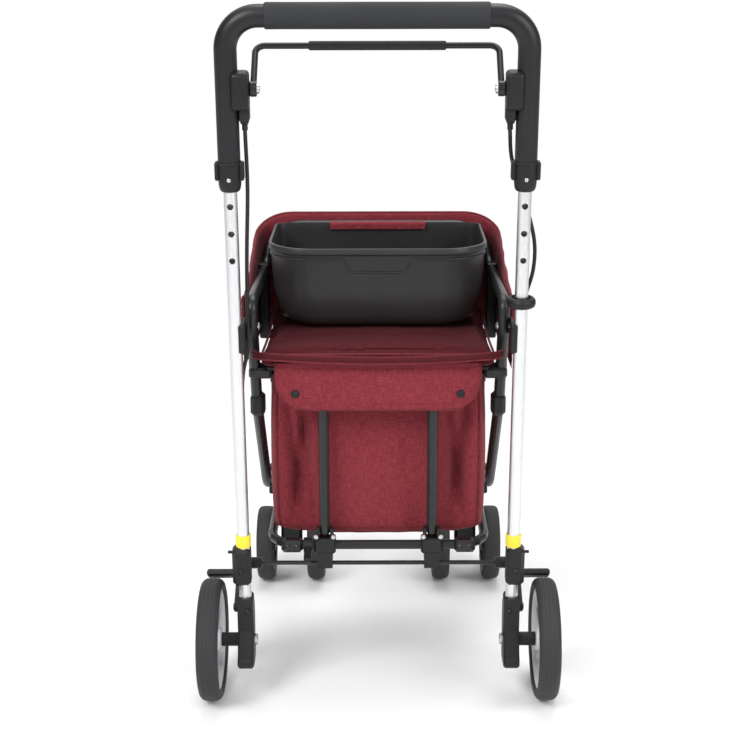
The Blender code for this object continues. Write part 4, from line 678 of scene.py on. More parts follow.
    @staticmethod
    def cord_uv(bm: Mesh) -> None:
        """Give a thin bar UVs in metres from its place."""
        layer = bm.loops.layers.uv.new("cloth")
        for face in bm.faces:
            for loop in face.loops:
                spot = loop.vert.co
                loop[layer].uv = (spot.x + spot.y * 0.7, spot.z + spot.y * 0.7)

    @staticmethod
    def filled(bm: Mesh) -> None:
        """Close the open rims of a mesh."""
        rims = [edge for edge in bm.edges if edge.is_boundary]
        bmesh.ops.holes_fill(bm, edges=rims, sides=0)

    @staticmethod
    def thickened(bm: Mesh, thickness: float) -> Mesh:
        """Give a sheet its thickness, on the side its faces point away from."""
        bmesh.ops.solidify(bm, geom=bm.faces[:], thickness=thickness)
        return bm

    @staticmethod
    def joined(first: Mesh, *others: Mesh) -> Mesh:
        """Add the other shapes to the first and free them."""
        for other in others:
            spare = bpy.data.meshes.new("spare")
            other.to_mesh(spare)
            other.free()
            first.from_mesh(spare)
            bpy.data.meshes.remove(spare)
        return first

    @staticmethod
    def leaned(bm: Mesh) -> Mesh:
        """Move a shape that is drawn on an upright leg to the leaning legs."""
        lean = Matrix.Translation((0.0, AXLE_Y, AXLE_Z)) @ Matrix.Rotation(LEAN, 4, "X")
        bmesh.ops.transform(bm, matrix=lean, verts=bm.verts)
        return bm

    @staticmethod
    def shifted(bm: Mesh, by: Sequence[float]) -> Mesh:
        """Move a shape."""
        bmesh.ops.translate(bm, vec=by, verts=bm.verts)
        return bm

    @staticmethod
    def on_side(bm: Mesh, side: Side) -> Mesh:
        """Lean a shape drawn on the right leg, mirrored when it belongs on the left."""
        if side is Side.LEFT:
            bmesh.ops.scale(bm, vec=(-1, 1, 1), verts=bm.verts)
            bmesh.ops.reverse_faces(bm, faces=bm.faces)
        return Shape.leaned(bm)

    @staticmethod
    def carved(bm: Mesh, *cutters: Mesh) -> Mesh:
        """Cut closed shapes out of another and return what is left."""
        target = Shape.spare_object("carved", bm)
        for cutter in cutters:
            tool = Shape.spare_object("cutter", cutter)
            step = target.modifiers.new("Hole", "BOOLEAN")
            step.operation = "DIFFERENCE"
            step.solver = "EXACT"
            step.object = tool
        bpy.context.view_layer.update()
        seen = target.evaluated_get(bpy.context.evaluated_depsgraph_get())
        left = bmesh.new()
        left.from_mesh(seen.to_mesh())
        seen.to_mesh_clear()
        for step in list(target.modifiers):
            tool = step.object
            target.modifiers.remove(step)
            bpy.data.objects.remove(tool)
        bpy.data.objects.remove(target)
        return left

    @staticmethod
    def spare_object(name: str, bm: Mesh) -> Object:
        """Return a passing object for a modifier, and free the bmesh."""
        mesh = bpy.data.meshes.new(name)
        bm.to_mesh(mesh)
        bm.free()
        made = bpy.data.objects.new(name, mesh)
        bpy.context.scene.collection.objects.link(made)
        return made


@dataclass
class Piece:
    """One finished piece of the scene.

    Attributes:
        name: The object's name.
        finish: What it is made of.
        body: The body of the model it rides on.
        stands_for: Nodes of the model that it replaces.
    """

    name: str
    finish: Finish
    body: str
    stands_for: tuple[str, ...] = ()

    def make(self, bm: Mesh, crease: float = PLAIN_CREASE) -> Object:
        """Turn the shape into an object that rides on its body.

        Args:
            bm: The shape, in place.
            crease: Edges sharper than this angle in degrees stay sharp.

        Returns:
            The object.
        """
        mesh = bpy.data.meshes.new(self.name)
        bm.to_mesh(mesh)
        bm.free()
        mesh.shade_smooth()
        mesh.set_sharp_from_angle(angle=math.radians(crease))
        mesh.materials.append(self.finish.material())
        made = bpy.data.objects.new(self.name, mesh)
        bpy.context.scene.collection.objects.link(made)
        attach(made, self.body)
        if self.stands_for:
            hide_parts(*self.stands_for)
        LOG.info("made %s", self.name)
        return made

    @classmethod
    def cord(cls, name: str, body: str, *bars: Mesh) -> Object:
        """Make one corded piece of its bars."""
        bm = Shape.joined(*bars)
        Shape.cord_uv(bm)
        return cls(name, Finishes.RED_PIPING, body).make(bm, CORD_CREASE)


# Cloth and padding


def ripple(place: Vector, scale: float, seed: float = 0.0) -> float:
    """Return smooth noise between about -1 and 1 at a place."""
    return noise.noise(Vector((place.x * scale + seed, place.y * scale, place.z * scale)))


def bell(value: float, middle: float, width: float) -> float:
    """Return 1 at the middle and fall to 0 over a few widths."""
    return math.exp(-((value - middle) / width) ** 2)


@dataclass
class Outline:
    """A rounded plan that a sheet follows by its length.

    Attributes:
        points: Corners of the fine path, in order.
    """

    points: list[Vector]
    lengths: list[float] = field(default_factory=list)

    def __post_init__(self) -> None:
        """Measure the path."""
        total = 0.0
        self.lengths = [0.0]
        for first, second in zip(self.points, self.points[1:]):
            total += (second - first).length
            self.lengths.append(total)

    @classmethod
    def ring(cls, half: float, rear: float, front: float, radii: Sequence[float], steps: int,
             z: float = 0.0) -> Outline:
        """Return a rounded rectangle, from the middle of its front side round to it again.

        Args:
            half: Half its width.
            rear: Its rear edge from the rear axle.
            front: Its front edge from the rear axle.
            radii: The radii of its four corners.
            steps: Points on each corner.
            z: Its height.

        Returns:
            The outline.
        """
        spots = ((0.0, front), (half, front), (half, rear), (-half, rear), (-half, front),
                 (0.0, front))
        return cls(Shape.rounded([from_axle(x, y, z) for x, y in spots], radii, steps))

    @property
    def length(self) -> float:
        """Return the whole length."""
        return self.lengths[-1]

    def at(self, share: float) -> tuple[Vector, Vector]:
        """Find a place on the path.

        Args:
            share: From 0 at the start to 1 at the end.

        Returns:
            The place, and the direction the path runs in there.
        """
        wanted = share * self.length
        low, high = 0, len(self.lengths) - 1
        while high - low > 1:
            middle = (low + high) // 2
            if self.lengths[middle] <= wanted:
                low = middle
            else:
                high = middle
        first, second = self.points[low], self.points[low + 1]
        span = max(self.lengths[low + 1] - self.lengths[low], 1e-9)
        place = first.lerp(second, (wanted - self.lengths[low]) / span)
        return place, (second - first).normalized()


@dataclass
class Bag:
    """The hanging bag under the seat, with its piping and top binding."""

    CREASES: ClassVar[tuple[tuple[float, float, float, float], ...]] = (
        (-0.13, -0.104, 0.011, 0.017), (-0.086, -0.124, 0.0085, 0.014),
        (-0.11, -0.086, 0.006, 0.01), (0.126, 0.098, 0.0105, 0.0165),
        (0.086, 0.122, 0.0085, 0.0145), (-0.018, -0.046, 0.018, 0.0075),
        (0.03, 0.052, 0.016, 0.0075), (0.006, 0.002, 0.024, 0.004))

    half: float = 0.1485
    rear: float = 0.0375
    front: float = 0.2985
    corner: float = 0.03
    bottom: float = 0.2275
    top: float = 0.452

    def plan(self) -> Outline:
        """Return the rounded plan, from the middle of the front side round to it again."""
        return Outline.ring(self.half, self.rear, self.front, [self.corner] * 4, 10)

    def wall(self, outline: Outline, share: float, rise: float, proud: float = 0.0) -> Vector:
        """Return a point of the sagging wall.

        Args:
            outline: The bag's plan.
            share: How far round the plan.
            rise: From 0 at the bottom to 1 at the top.
            proud: How far outside the cloth.

        Returns:
            The point.
        """
        place, ahead = outline.at(share)
        outward = Vector((-ahead.y, ahead.x, 0.0))
        middle = Vector((0.0, (self.rear + self.front) / 2 + AXLE_Y, 0.0))
        z = self.bottom + (self.top - self.bottom) * rise
        flat = abs(outward.y)
        belly = 0.004 * math.sin(math.pi * min(rise * 1.15, 1.0)) - 0.006 * bell(rise, 0.0, 0.05)
        folds = ripple(Vector((place.x, place.y, z * 0.28)), 24.0) * 0.005
        folds += ripple(Vector((place.x, place.y, z * 0.45)), 62.0, 5.0) * 0.0018
        hang = ripple(Vector((place.x * 0.5, place.y * 0.5, z)), 17.0, 9.0) * 0.003
        for start, end, width, depth in self.CREASES:
            at = end + (start - end) * rise
            folds -= depth * bell(place.x, at, width) * (outward.y < -0.5)
        free = math.sin(math.pi * min(max(rise, 0.02), 0.98)) ** 0.55
        tight = 1.0 - 0.75 * bell(abs(place.x), self.half - 0.006, 0.01)
        shift = belly * 0.55 + (folds + hang) * free * tight * (0.35 + 0.65 * flat) - 0.0022
        point = place + outward * (shift + proud)
        inset = 0.05 * bell(rise, 0.0, 0.018)
        point.x += (middle.x - point.x) * inset
        point.y += (middle.y - point.y) * inset
        near = max(-outward.y, 0.0) * max(1.0 - (place.x / (self.half - 0.014)) ** 4, 0.0)
        return Vector((point.x, point.y, z - 0.005 * near * (1.0 - rise) ** 4))

    def build(self) -> None:
        """Make the wall, its floor, the piping and the binding."""
        outline = self.plan()
        height = self.top - self.bottom
        bm = Shape.sheet(lambda u, v: self.wall(outline, u, v), outline.length, height, 240, 64,
                         True)
        bmesh.ops.recalc_face_normals(bm, faces=bm.faces)
        Shape.thickened(bm, 0.0011)
        shell = Piece("bag_cloth", Finishes.RED_CLOTH, "front_frame", ("bag",))
        shell = shell.make(bm, CLOTH_CREASE)
        self.gather(shell)
        base = Shape.thickened(Shape.sheet(self.base, 0.29, 0.26, 48, 24), 0.002)
        board = Piece("bag_floor", Finishes.DARK_LINING, "front_frame").make(base, CLOTH_CREASE)
        self.gather(board)
        self.piping(outline)
        self.binding(outline)

    def base(self, u: float, v: float) -> Vector:
        """Return a point of the stiffened floor, a little above the hem."""
        x = (2 * u - 1) * (self.half - 0.01)
        y = self.rear + 0.01 + (self.front - self.rear - 0.02) * v
        edge = max(abs(2 * u - 1), abs(2 * v - 1))
        x *= 1.0 - 0.03 * bell(abs(2 * v - 1), 1.0, 0.12)
        return from_axle(x, y, self.bottom + 0.004 + 0.003 * bell(edge, 1.0, 0.1))

    def seam(self, outline: Outline, share: float, proud: float) -> list[Vector]:
        """Return an upright line on the cloth."""
        steps = 40
        return [self.wall(outline, share, 0.02 + 0.96 * step / steps, proud)
                for step in range(steps + 1)]

    def piping(self, outline: Outline) -> None:
        """Make the four corded seams at the corners, and the seam along the bottom."""
        shares = []
        for x, y in ((1, 1), (1, -1), (-1, -1), (-1, 1)):
            goal = from_axle(x * self.half, (self.front if y > 0 else self.rear), 0.0)
            best = min(range(401), key=lambda step: (outline.at(step / 400)[0] - goal).length)
            shares.append(best / 400)
        bars = [Shape.tube(self.seam(outline, share, 0.0012), CORD, 10) for share in shares]
        steps = 160
        loop = [self.wall(outline, step / steps, 0.03, 0.001) for step in range(steps + 1)]
        self.gather(Piece.cord("bag_piping", "front_frame", *bars, Shape.tube(loop, 0.0015, 8)))

    def gather(self, piece: Object) -> None:
        """Give a piece of the bag a mesh of its own.

        Args:
            piece: The piece.
        """
        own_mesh(piece)

    def binding(self, outline: Outline) -> None:
        """Make the folded hem that holds the top edge of the cloth."""
        def place(u: float, v: float) -> Vector:
            point = self.wall(outline, u, 0.945 + 0.055 * min(v * 2, 1.0), 0.0013)
            if v > 0.5:
                spot, ahead = outline.at(u)
                outward = Vector((-ahead.y, ahead.x, 0.0))
                point = point - outward * 0.006 * (v - 0.5) * 2
            return point
        bm = Shape.sheet(place, outline.length, 0.018, 160, 6, True)
        bmesh.ops.recalc_face_normals(bm, faces=bm.faces)
        hem = Piece("bag_binding", Finishes.RED_PIPING, "front_frame").make(bm, CORD_CREASE)
        self.gather(hem)


@dataclass
class PocketFlap:
    """The flap of the pocket on the user's side, with corded edge and press studs."""

    half: float = 0.136
    top: float = 0.4815
    height: float = 0.065
    corner: float = 0.042
    face: float = 0.0052
    stud_x: float = 0.11
    stud_rise: float = 0.02

    def edge(self, x: float) -> float:
        """Return the height of the lower edge at a sideways place."""
        low = self.top - self.height
        beyond = max(abs(x) - (self.half - self.corner), 0.0) / self.corner
        return low + self.corner * (1.0 - math.sqrt(max(1.0 - min(beyond, 1.0) ** 2, 0.0)))

    def place(self, u: float, v: float, proud: float = 0.0) -> Vector:
        """Return a point of the flap, v from the lower edge to the top."""
        x = (2 * u - 1) * self.half
        low = self.edge(x)
        z = low + (self.top - low) * v
        puff = 0.002 * math.sin(math.pi * min(max(v, 0.0), 1.0)) ** 0.7
        puff += ripple(Vector((x, 0.0, z)), 30.0, 3.0) * 0.0016 * math.sin(math.pi * v)
        for side in (-1, 1):
            stud_z = self.top - self.height + self.stud_rise
            reach = math.hypot(x - side * self.stud_x, z - stud_z)
            puff -= 0.0022 * math.exp(-(reach / 0.011) ** 2)
        puff -= 0.0012 * bell(v, 0.9, 0.04)
        return from_axle(x, self.face - puff - proud, z)

    def build(self) -> None:
        """Make the padded flap, the cord round its edge and the studs."""
        bm = Shape.sheet(self.place, 2 * self.half, self.height, 128, 36)
        bmesh.ops.recalc_face_normals(bm, faces=bm.faces)
        if bm.faces[0].normal.y > 0:
            bmesh.ops.reverse_faces(bm, faces=bm.faces)
        Shape.thickened(bm, 0.0024)
        flap = Piece("flap_cloth", Finishes.RED_CLOTH, "flap", ("pocket_flap",))
        flap.make(bm, CLOTH_CREASE)
        path = [self.place(0.0, 1.0 - step / 12) for step in range(12)]
        path += [self.place(step / 96, 0.0) for step in range(97)]
        path += [self.place(1.0, step / 12) for step in range(1, 13)]
        path = [point + Vector((0, 0.0006, 0)) for point in path]
        Piece.cord("flap_piping", "flap", Shape.tube(path, CORD, 10))
        stitch = [self.place(0.03 + 0.94 * step / 90, 0.13, 0.0002) for step in range(91)]
        Stitching("flap_stitching", "flap").build([stitch])
        studs = []
        for side in Side:
            spot = self.place(0.5 + side.sign * self.stud_x / self.half / 2,
                              self.stud_rise / self.height)
            profile = [(0.0, -0.003), (0.0021, -0.0029), (0.003, -0.0022), (0.0034, -0.0023),
                       (0.005, -0.0019), (0.0056, -0.0008), (0.0056, 0.001), (0.0, 0.0012)]
            studs.append(Shape.turned(profile, spot, Axis.Y, 32))
        Piece("flap_studs", Finishes.PLASTIC, "flap").make(Shape.joined(*studs), MOULD_CREASE)


@dataclass
class Stitching:
    """Rows of small stitches that lie on cloth.

    Attributes:
        name: The piece's name.
        body: What it rides on.
        pitch: Length of one stitch and the space after it.
    """

    name: str
    body: str
    pitch: float = 0.0034

    def build(self, rows: Sequence[Sequence[Vector]]) -> None:
        """Make one piece of every stitch.

        Args:
            rows: Fine points along each row.
        """
        bm = bmesh.new()
        for row in rows:
            path = Outline(list(row))
            count = int(path.length / self.pitch)
            for step in range(count):
                place, ahead = path.at((step + 0.5) / count)
                made = bmesh.ops.create_icosphere(bm, subdivisions=1, radius=0.5)["verts"]
                turn = ahead.to_track_quat("X", "Z").to_matrix().to_4x4()
                size = Matrix.Diagonal((self.pitch * 0.72, 0.0008, 0.0008, 1.0))
                bmesh.ops.transform(bm, matrix=Matrix.Translation(place) @ turn @ size, verts=made)
        Shape.cord_uv(bm)
        Piece(self.name, Finishes.RED_PIPING, self.body).make(bm, PAD_CREASE)


@dataclass
class Seat:
    """The cushion on the seat board, blown up by cloth and sewn in channels."""

    half: float = 0.1555
    rear: float = 0.0075
    front: float = 0.2735
    low: float = 0.4748
    height: float = 0.0185
    cap: float = 0.0075
    wide: float = 0.1645
    voxel: float = 0.0048
    pressure: float = 4.0
    frames: int = 20
    drop: float = 0.034
    seams: tuple[float, ...] = (-0.52, 0.02, 0.55)

    @property
    def middle(self) -> float:
        """Return the middle of the seat from the rear axle."""
        return (self.rear + self.front) / 2

    def shares(self, spot: Vector) -> tuple[float, float]:
        """Return a place on the seat as shares of its half width and half depth."""
        half_depth = (self.front - self.rear) / 2
        return spot.x / self.half, (spot.y - AXLE_Y - self.middle) / half_depth

    @staticmethod
    def pinched(spot: Vector, x: float, y: float) -> None:
        """Pull a place on the rim in between the corners, by its shares of the seat."""
        spot.y -= math.copysign(0.0028 * (1 - min(abs(x), 1.0) ** 2) * (abs(y) > 0.9), y)
        spot.x -= math.copysign(0.0028 * (1 - min(abs(y), 1.0) ** 2) * (abs(x) > 0.9), x)

    def blank(self) -> Mesh:
        """Return the cut foam before it swells."""
        size = (2 * self.half - 0.006, self.front - self.rear - 0.006, self.height - 0.003)
        centre = from_axle(0.0, self.middle, self.low + self.height / 2)
        bm = Shape.block(size, centre, 0.0065, 3)
        bmesh.ops.subdivide_edges(bm, edges=bm.edges[:], cuts=3, use_grid_fill=True)
        return bm

    def swollen(self) -> Mesh:
        """Return the cushion after the cloth has been blown up a little.

        Returns:
            The swollen mesh.
        """
        work = Shape.spare_object("seat_blank", self.blank())
        mesher = work.modifiers.new("Even", "REMESH")
        mesher.mode = "VOXEL"
        mesher.voxel_size = self.voxel
        self.apply(work)
        start = [vert.co.copy() for vert in work.data.vertices]
        cloth = work.modifiers.new("Blow", "CLOTH")
        cloth.settings.use_pressure = True
        cloth.settings.uniform_pressure_force = self.pressure
        cloth.settings.effector_weights.gravity = 0.0
        cloth.settings.quality = 6
        cloth.point_cache.frame_start = 1
        cloth.point_cache.frame_end = self.frames
        scene = bpy.context.scene
        for frame_number in range(1, self.frames + 1):
            scene.frame_set(frame_number)
        self.apply(work)
        scene.frame_set(1)
        bm = bmesh.new()
        bm.from_mesh(work.data)
        bpy.data.objects.remove(work)
        bm.verts.ensure_lookup_table()
        for vert, before in zip(bm.verts, start):
            move = vert.co - before
            if move.length > self.cap:
                vert.co = before + move.normalized() * self.cap
        return bm

    @staticmethod
    def apply(work: Object) -> None:
        """Turn what the modifiers give into the object's own mesh."""
        bpy.context.view_layer.update()
        seen = work.evaluated_get(bpy.context.evaluated_depsgraph_get())
        mesh = bpy.data.meshes.new_from_object(seen)
        work.modifiers.clear()
        work.data = mesh

    def build(self) -> None:
        """Make the cushion, its corded rim, the sewn channels and the front band."""
        bm = self.swollen()
        bmesh.ops.subdivide_edges(bm, edges=bm.edges[:], cuts=1, use_grid_fill=True, smooth=0.6)
        for _ in range(2):
            bmesh.ops.smooth_vert(bm, verts=bm.verts, factor=0.5, use_axis_x=True, use_axis_y=True,
                                  use_axis_z=True)
        wide = max(abs(vert.co.x) for vert in bm.verts)
        near = min(vert.co.y for vert in bm.verts) - AXLE_Y
        far = max(vert.co.y for vert in bm.verts) - AXLE_Y
        for vert in bm.verts:
            vert.co.x *= self.half / wide
            share = (vert.co.y - AXLE_Y - near) / (far - near)
            vert.co.y = AXLE_Y + self.rear + (self.front - self.rear) * share
            x, y = self.shares(vert.co)
            top = max((vert.co.z - self.low) / self.height, 0.0)
            across = max(1 - abs(x) ** 6, 0.0)
            groove = 0.0
            for seam in self.seams:
                groove += 0.003 * bell(y, seam, 0.018) * across
            crown = 0.0045 * max(1 - x * x, 0.0) * max(1 - y * y, 0.0)
            wrinkle = ripple(vert.co, 34.0, 2.0) * 0.0011 + ripple(vert.co, 90.0, 7.0) * 0.0004
            if top > 0.5:
                vert.co.z += crown - groove + wrinkle
            self.pinched(vert.co, x, y)
            vert.co.z = max(vert.co.z, self.low)
            vert.co.x = min(max(vert.co.x, -self.half - 0.002), self.half + 0.002)
            low, high = self.rear + AXLE_Y - 0.002, self.front + AXLE_Y + 0.002
            vert.co.y = min(max(vert.co.y, low), high)
        layer = bm.loops.layers.uv.new("cloth")
        for face in bm.faces:
            for loop in face.loops:
                spot = loop.vert.co
                steep = abs(face.normal.z) < 0.5
                loop[layer].uv = (spot.x + spot.y, spot.z) if steep else (spot.x, spot.y)
        # The cushion wears the seat cloth that is darkened as painted shade from the tray.
        cushion = Piece("seat_cushion", Finishes.SEAT_CLOTH, "front_frame", ("seat_pad",))
        cushion.make(bm, PAD_CREASE)
        self.trim()

    def rim(self, inset: float, z: float) -> list[Vector]:
        """Return the closed line round the cushion."""
        path = Outline.ring(self.half - inset, self.rear + inset, self.front - inset,
                            [0.016] * 4, 8, z)
        made = []
        for step in range(241):
            place, _ = path.at(step / 240)
            self.pinched(place, *self.shares(place))
            made.append(place)
        return made

    def trim(self) -> None:
        """Make the two cords round the cushion."""
        foot = self.rim(0.002, self.low + 0.003)
        top = self.rim(0.001, self.low + self.height - 0.0022)
        Piece.cord("seat_piping", "front_frame", Shape.tube(foot, CORD, 8),
                   Shape.tube(top, CORD, 8))
        self.front_band()

    def band(self, u: float, v: float) -> Vector:
        """Return a point of the band that hangs over the seat's near edge.

        Args:
            u: Across the seat.
            v: From the cushion's top, over the edge, to the hem.

        Returns:
            The point.
        """
        side = 2 * u - 1
        corners = [Vector((0, 0.012, 0.4895)), Vector((0, 0.004, 0.491)),
                   Vector((0, -0.004, 0.4945)), Vector((0, -0.0085, 0.4948)),
                   Vector((0, -0.0108, 0.4925)), Vector((0, -0.0104, 0.4895)),
                   Vector((0, -0.008, 0.487))]
        spot, _ = Outline(corners).at(v)
        end = max(abs(side) - 0.9, 0.0) / 0.1
        y = spot.y + (0.007 * end * end if spot.y < 0 else 0.0)
        sag = 0.0075 * (1 - side * side) - 0.0045
        wave = ripple(Vector((side * self.wide, v * 0.03, 0)), 30.0, 11.0) * 0.0012
        return from_axle(side * self.wide, y - wave, spot.z - sag * min(0.35 + v, 1.0))

    def front_band(self) -> None:
        """Make the padded band and the cord along its hem."""
        bm = Shape.sheet(self.band, 2 * self.wide, self.drop, 160, 28)
        bmesh.ops.recalc_face_normals(bm, faces=bm.faces)
        if sum(face.normal.y for face in bm.faces) > 0:
            bmesh.ops.reverse_faces(bm, faces=bm.faces)
        Shape.thickened(bm, 0.0022)
        # The band wears the seat cloth that is darkened as painted shade from the tray.
        band = Piece("seat_front_band", Finishes.SEAT_CLOTH, "front_frame").make(bm, CLOTH_CREASE)
        self.pressed(band)
        hem = [self.band(step / 120, 1.0) for step in range(121)]
        ridge = [self.band(step / 120, 0.55) for step in range(121)]
        self.pressed(Piece.cord("seat_band_piping", "front_frame", Shape.tube(hem, CORD, 8),
                                Shape.tube(ridge, 0.0013, 8)))

    @staticmethod
    def pressed(piece: Object) -> None:
        """Give a piece of the band a mesh of its own."""
        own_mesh(piece)


@dataclass
class Hood:
    """The padded wall of cloth round the hoop, behind and beside the tray."""

    half: float = 0.181
    rear: float = 0.05
    front: float = 0.311
    corner: float = 0.055
    bottom: float = 0.46
    low_top: float = 0.562
    high_top: float = 0.628
    sweep: float = 1.9
    wall: float = 0.0065
    cord: float = 0.0019

    def plan(self) -> Outline:
        """Return the open plan, from the right side's rear round to the left side's."""
        corners = [from_axle(self.half, self.rear, 0.0), from_axle(self.half, self.front, 0.0),
                   from_axle(-self.half, self.front, 0.0), from_axle(-self.half, self.rear, 0.0)]
        return Outline(Shape.rounded(corners, [self.corner] * 2, 14))

    def crest(self, y: float) -> float:
        """Return the height of the top edge at a place from the rear axle."""
        share = max((y - self.rear) / (self.front - self.rear), 0.0)
        return self.low_top + (self.high_top - self.low_top) * share ** self.sweep

    def place(self, outline: Outline, u: float, v: float, proud: float = 0.0) -> Vector:
        """Return a point of the sheet, up the outside, over the edge and down inside.

        Args:
            outline: The hood's plan.
            u: Along the plan.
            v: From the outside's foot, over the top at 0.5, to the inside's foot.
            proud: How far off the cloth.

        Returns:
            The point.
        """
        spot, ahead = outline.at(u)
        outward = Vector((ahead.y, -ahead.x, 0.0))
        if outward.dot(spot - from_axle(0.0, 0.15, 0.0)) < 0:
            outward = -outward
        top = self.crest(spot.y - AXLE_Y)
        roll = self.wall / 2
        if v < 0.47:
            across, z = roll, self.bottom + (top - roll - self.bottom) * v / 0.47
        elif v > 0.53:
            across, z = -roll, self.bottom + (top - roll - self.bottom) * (1 - v) / 0.47
        else:
            angle = math.pi * (v - 0.47) / 0.06
            across, z = roll * math.cos(angle), top - roll + roll * math.sin(angle)
        rise = (z - self.bottom) / (top - self.bottom)
        point = spot - outward * roll + outward * across
        point.z = z
        puff = 0.0016 * math.sin(math.pi * min(max(rise, 0.0), 1.0)) ** 0.6
        puff += ripple(point, 22.0, 4.0) * 0.0022 + ripple(point, 60.0, 8.0) * 0.0008
        puff -= 0.0018 * bell(rise, 0.86, 0.022) + 0.0016 * bell(rise, 0.06, 0.02)
        sign = 1.0 if v < 0.5 else -0.35
        free = 1.0 if 0.02 < u < 0.98 else 0.3
        return point + outward * (sign * (puff + proud) * free)

    def build(self) -> None:
        """Make the wall, its corded top edge, end bindings and stitching."""
        outline = self.plan()
        depth = 2 * (self.high_top - self.bottom) + self.wall
        bm = Shape.sheet(lambda u, v: self.place(outline, u, v), outline.length, depth, 200, 90)
        bmesh.ops.recalc_face_normals(bm, faces=bm.faces)
        Shape.filled(bm)
        bmesh.ops.recalc_face_normals(bm, faces=bm.faces)
        hood = Piece("hood_cloth", Finishes.RED_CLOTH, "front_frame", ("backrest_hood",))
        hood.make(bm, PAD_CREASE)
        lift = Vector((0, 0, 0.0004))
        line = [self.place(outline, step / 200, 0.5) + lift for step in range(201)]
        bars = [Shape.tube(line, self.cord, 10)]
        for u in (0.0, 1.0):
            line = [self.place(outline, u, step / 60) for step in range(6, 55)]
            bars.append(Shape.tube(line, self.cord, 8))
        Piece.cord("hood_piping", "front_frame", *bars)
        rows = [[self.place(outline, 0.01 + 0.98 * step / 300, v, 0.0003) for step in range(301)]
                for v in (0.405, 0.03)]
        Stitching("hood_stitching", "front_frame").build(rows)


@dataclass
class Tray:
    """The lift-out tray: tapering walls, a rolled rim, a front relief and its strap."""

    half: float = 0.151
    rear: float = 0.083
    front: float = 0.281
    rim: float = 0.6185
    bottom: float = 0.506
    wall: float = 0.003
    taper: float = 0.01
    near_r: float = 0.062
    far_r: float = 0.016

    def plan(self, inset: float) -> Outline:
        """Return the plan, shrunk by an inset, from the middle of the far side round."""
        near = max(self.near_r - inset * 0.5, 0.004)
        far = max(self.far_r - inset * 0.5, 0.004)
        return Outline.ring(self.half - inset, self.rear + inset, self.front - inset * 0.3,
                            [far, near, near, far], 12)

    def section(self) -> list[tuple[float, float]]:
        """Return (inset, height) from the outside's foot over the rim to the floor inside."""
        low, top, thin, taper = self.bottom, self.rim, self.wall, self.taper
        return [(taper + 0.036, low), (taper + 0.019, low + 0.0004), (taper + 0.011, low + 0.003),
                (taper + 0.005, low + 0.0085), (taper + 0.0008, low + 0.018),
                (taper * 0.55, low + 0.05),
                (taper * 0.12 + 0.0012, top - 0.011),
                (0.0012, top - 0.0085), (0.0, top - 0.0075), (0.0, top - 0.0012), (0.0008, top),
                (thin + 0.0006, top), (thin + 0.0012, top - 0.001), (thin + 0.0014, top - 0.01),
                (taper * 0.55 + thin, low + 0.05), (taper + thin + 0.0008, low + 0.019),
                (taper + thin + 0.005, low + 0.0105), (taper + thin + 0.01, low + 0.006),
                (taper + 0.02 + thin, low + thin + 0.0004), (taper + 0.04, low + thin)]

    def build(self) -> None:
        """Make the tray, its floor, the raised front panel and the strap."""
        section = self.section()
        rings = [self.plan(inset) for inset, _ in section]
        count = 240
        bm = bmesh.new()
        bmesh.ops.create_grid(bm, x_segments=count, y_segments=len(section) - 1, size=0.5)
        for vert in bm.verts:
            row = round((vert.co.y + 0.5) * (len(section) - 1))
            place, _ = rings[row].at(min(max(vert.co.x + 0.5, 0.0), 1.0))
            z = section[row][1]
            vert.co = (place.x, place.y + self.relief(row, place), z)
        bmesh.ops.remove_doubles(bm, verts=bm.verts, dist=WELD)
        Shape.filled(bm)
        bmesh.ops.triangulate(bm, faces=[face for face in bm.faces if len(face.verts) > 4])
        bmesh.ops.recalc_face_normals(bm, faces=bm.faces)
        Piece("tray_shell", Finishes.TRAY, "tray", ("tray",)).make(bm, TRAY_CREASE)
        self.front_line()
        self.strap()

    def relief(self, row: int, place: Vector) -> float:
        """Return how far the lower front stands back under its raised lip."""
        near = 3 <= row <= 6 and place.y - AXLE_Y <= self.rear + 0.05
        return 0.0004 if near else 0.0

    def front_line(self) -> None:
        """Make the moulded lip round the near side, which drops in the middle of the front."""
        line = []
        steps = 220
        for step in range(steps + 1):
            share = 0.2 + 0.6 * step / steps
            spot, _ = self.plan(0.003).at(share)
            drop = 0.5 + 0.5 * math.tanh((0.041 - abs(spot.x)) / 0.0035)
            if spot.y - AXLE_Y > self.rear + 0.02:
                drop = 0.0
            z = self.rim - 0.015 - 0.018 * drop
            inset = 0.0024 + 0.06 * (self.rim - 0.011 - z) - 0.0002
            spot, _ = self.plan(inset).at(share)
            line.append(Vector((spot.x, spot.y, z)))
        bm = Shape.tube(line, 0.0012, 8)
        Piece("tray_front_lip", Finishes.TRAY, "tray").make(bm, CLOTH_CREASE)

    def strap(self) -> None:
        """Make the cloth strap that hangs the tray from the hoop."""
        low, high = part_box("tray_strap")
        turns = ((low.y, high.z - 0.011), (low.y, high.z - 0.003),
                 (low.y + 0.003, high.z - 0.0006), (high.y - 0.003, high.z - 0.0006),
                 (high.y, high.z - 0.004), (high.y, low.z + 0.012))
        over = Outline([Vector((0, *turn)) for turn in turns])

        def place(u: float, v: float) -> Vector:
            x = low.x + (high.x - low.x) * u
            spot, _ = over.at(v)
            wave = ripple(Vector((x, v, 0)), 24.0, 6.0) * 0.0007
            return Vector((x, spot.y, spot.z + wave))

        bm = Shape.sheet(place, high.x - low.x, 0.045, 60, 20)
        bmesh.ops.recalc_face_normals(bm, faces=bm.faces)
        Shape.thickened(bm, 0.0012)
        strap = Piece("tray_strap_cloth", Finishes.RED_CLOTH, "tray", ("tray_strap",))
        strap.make(bm, CORD_CREASE)


# Metal and moulded pieces


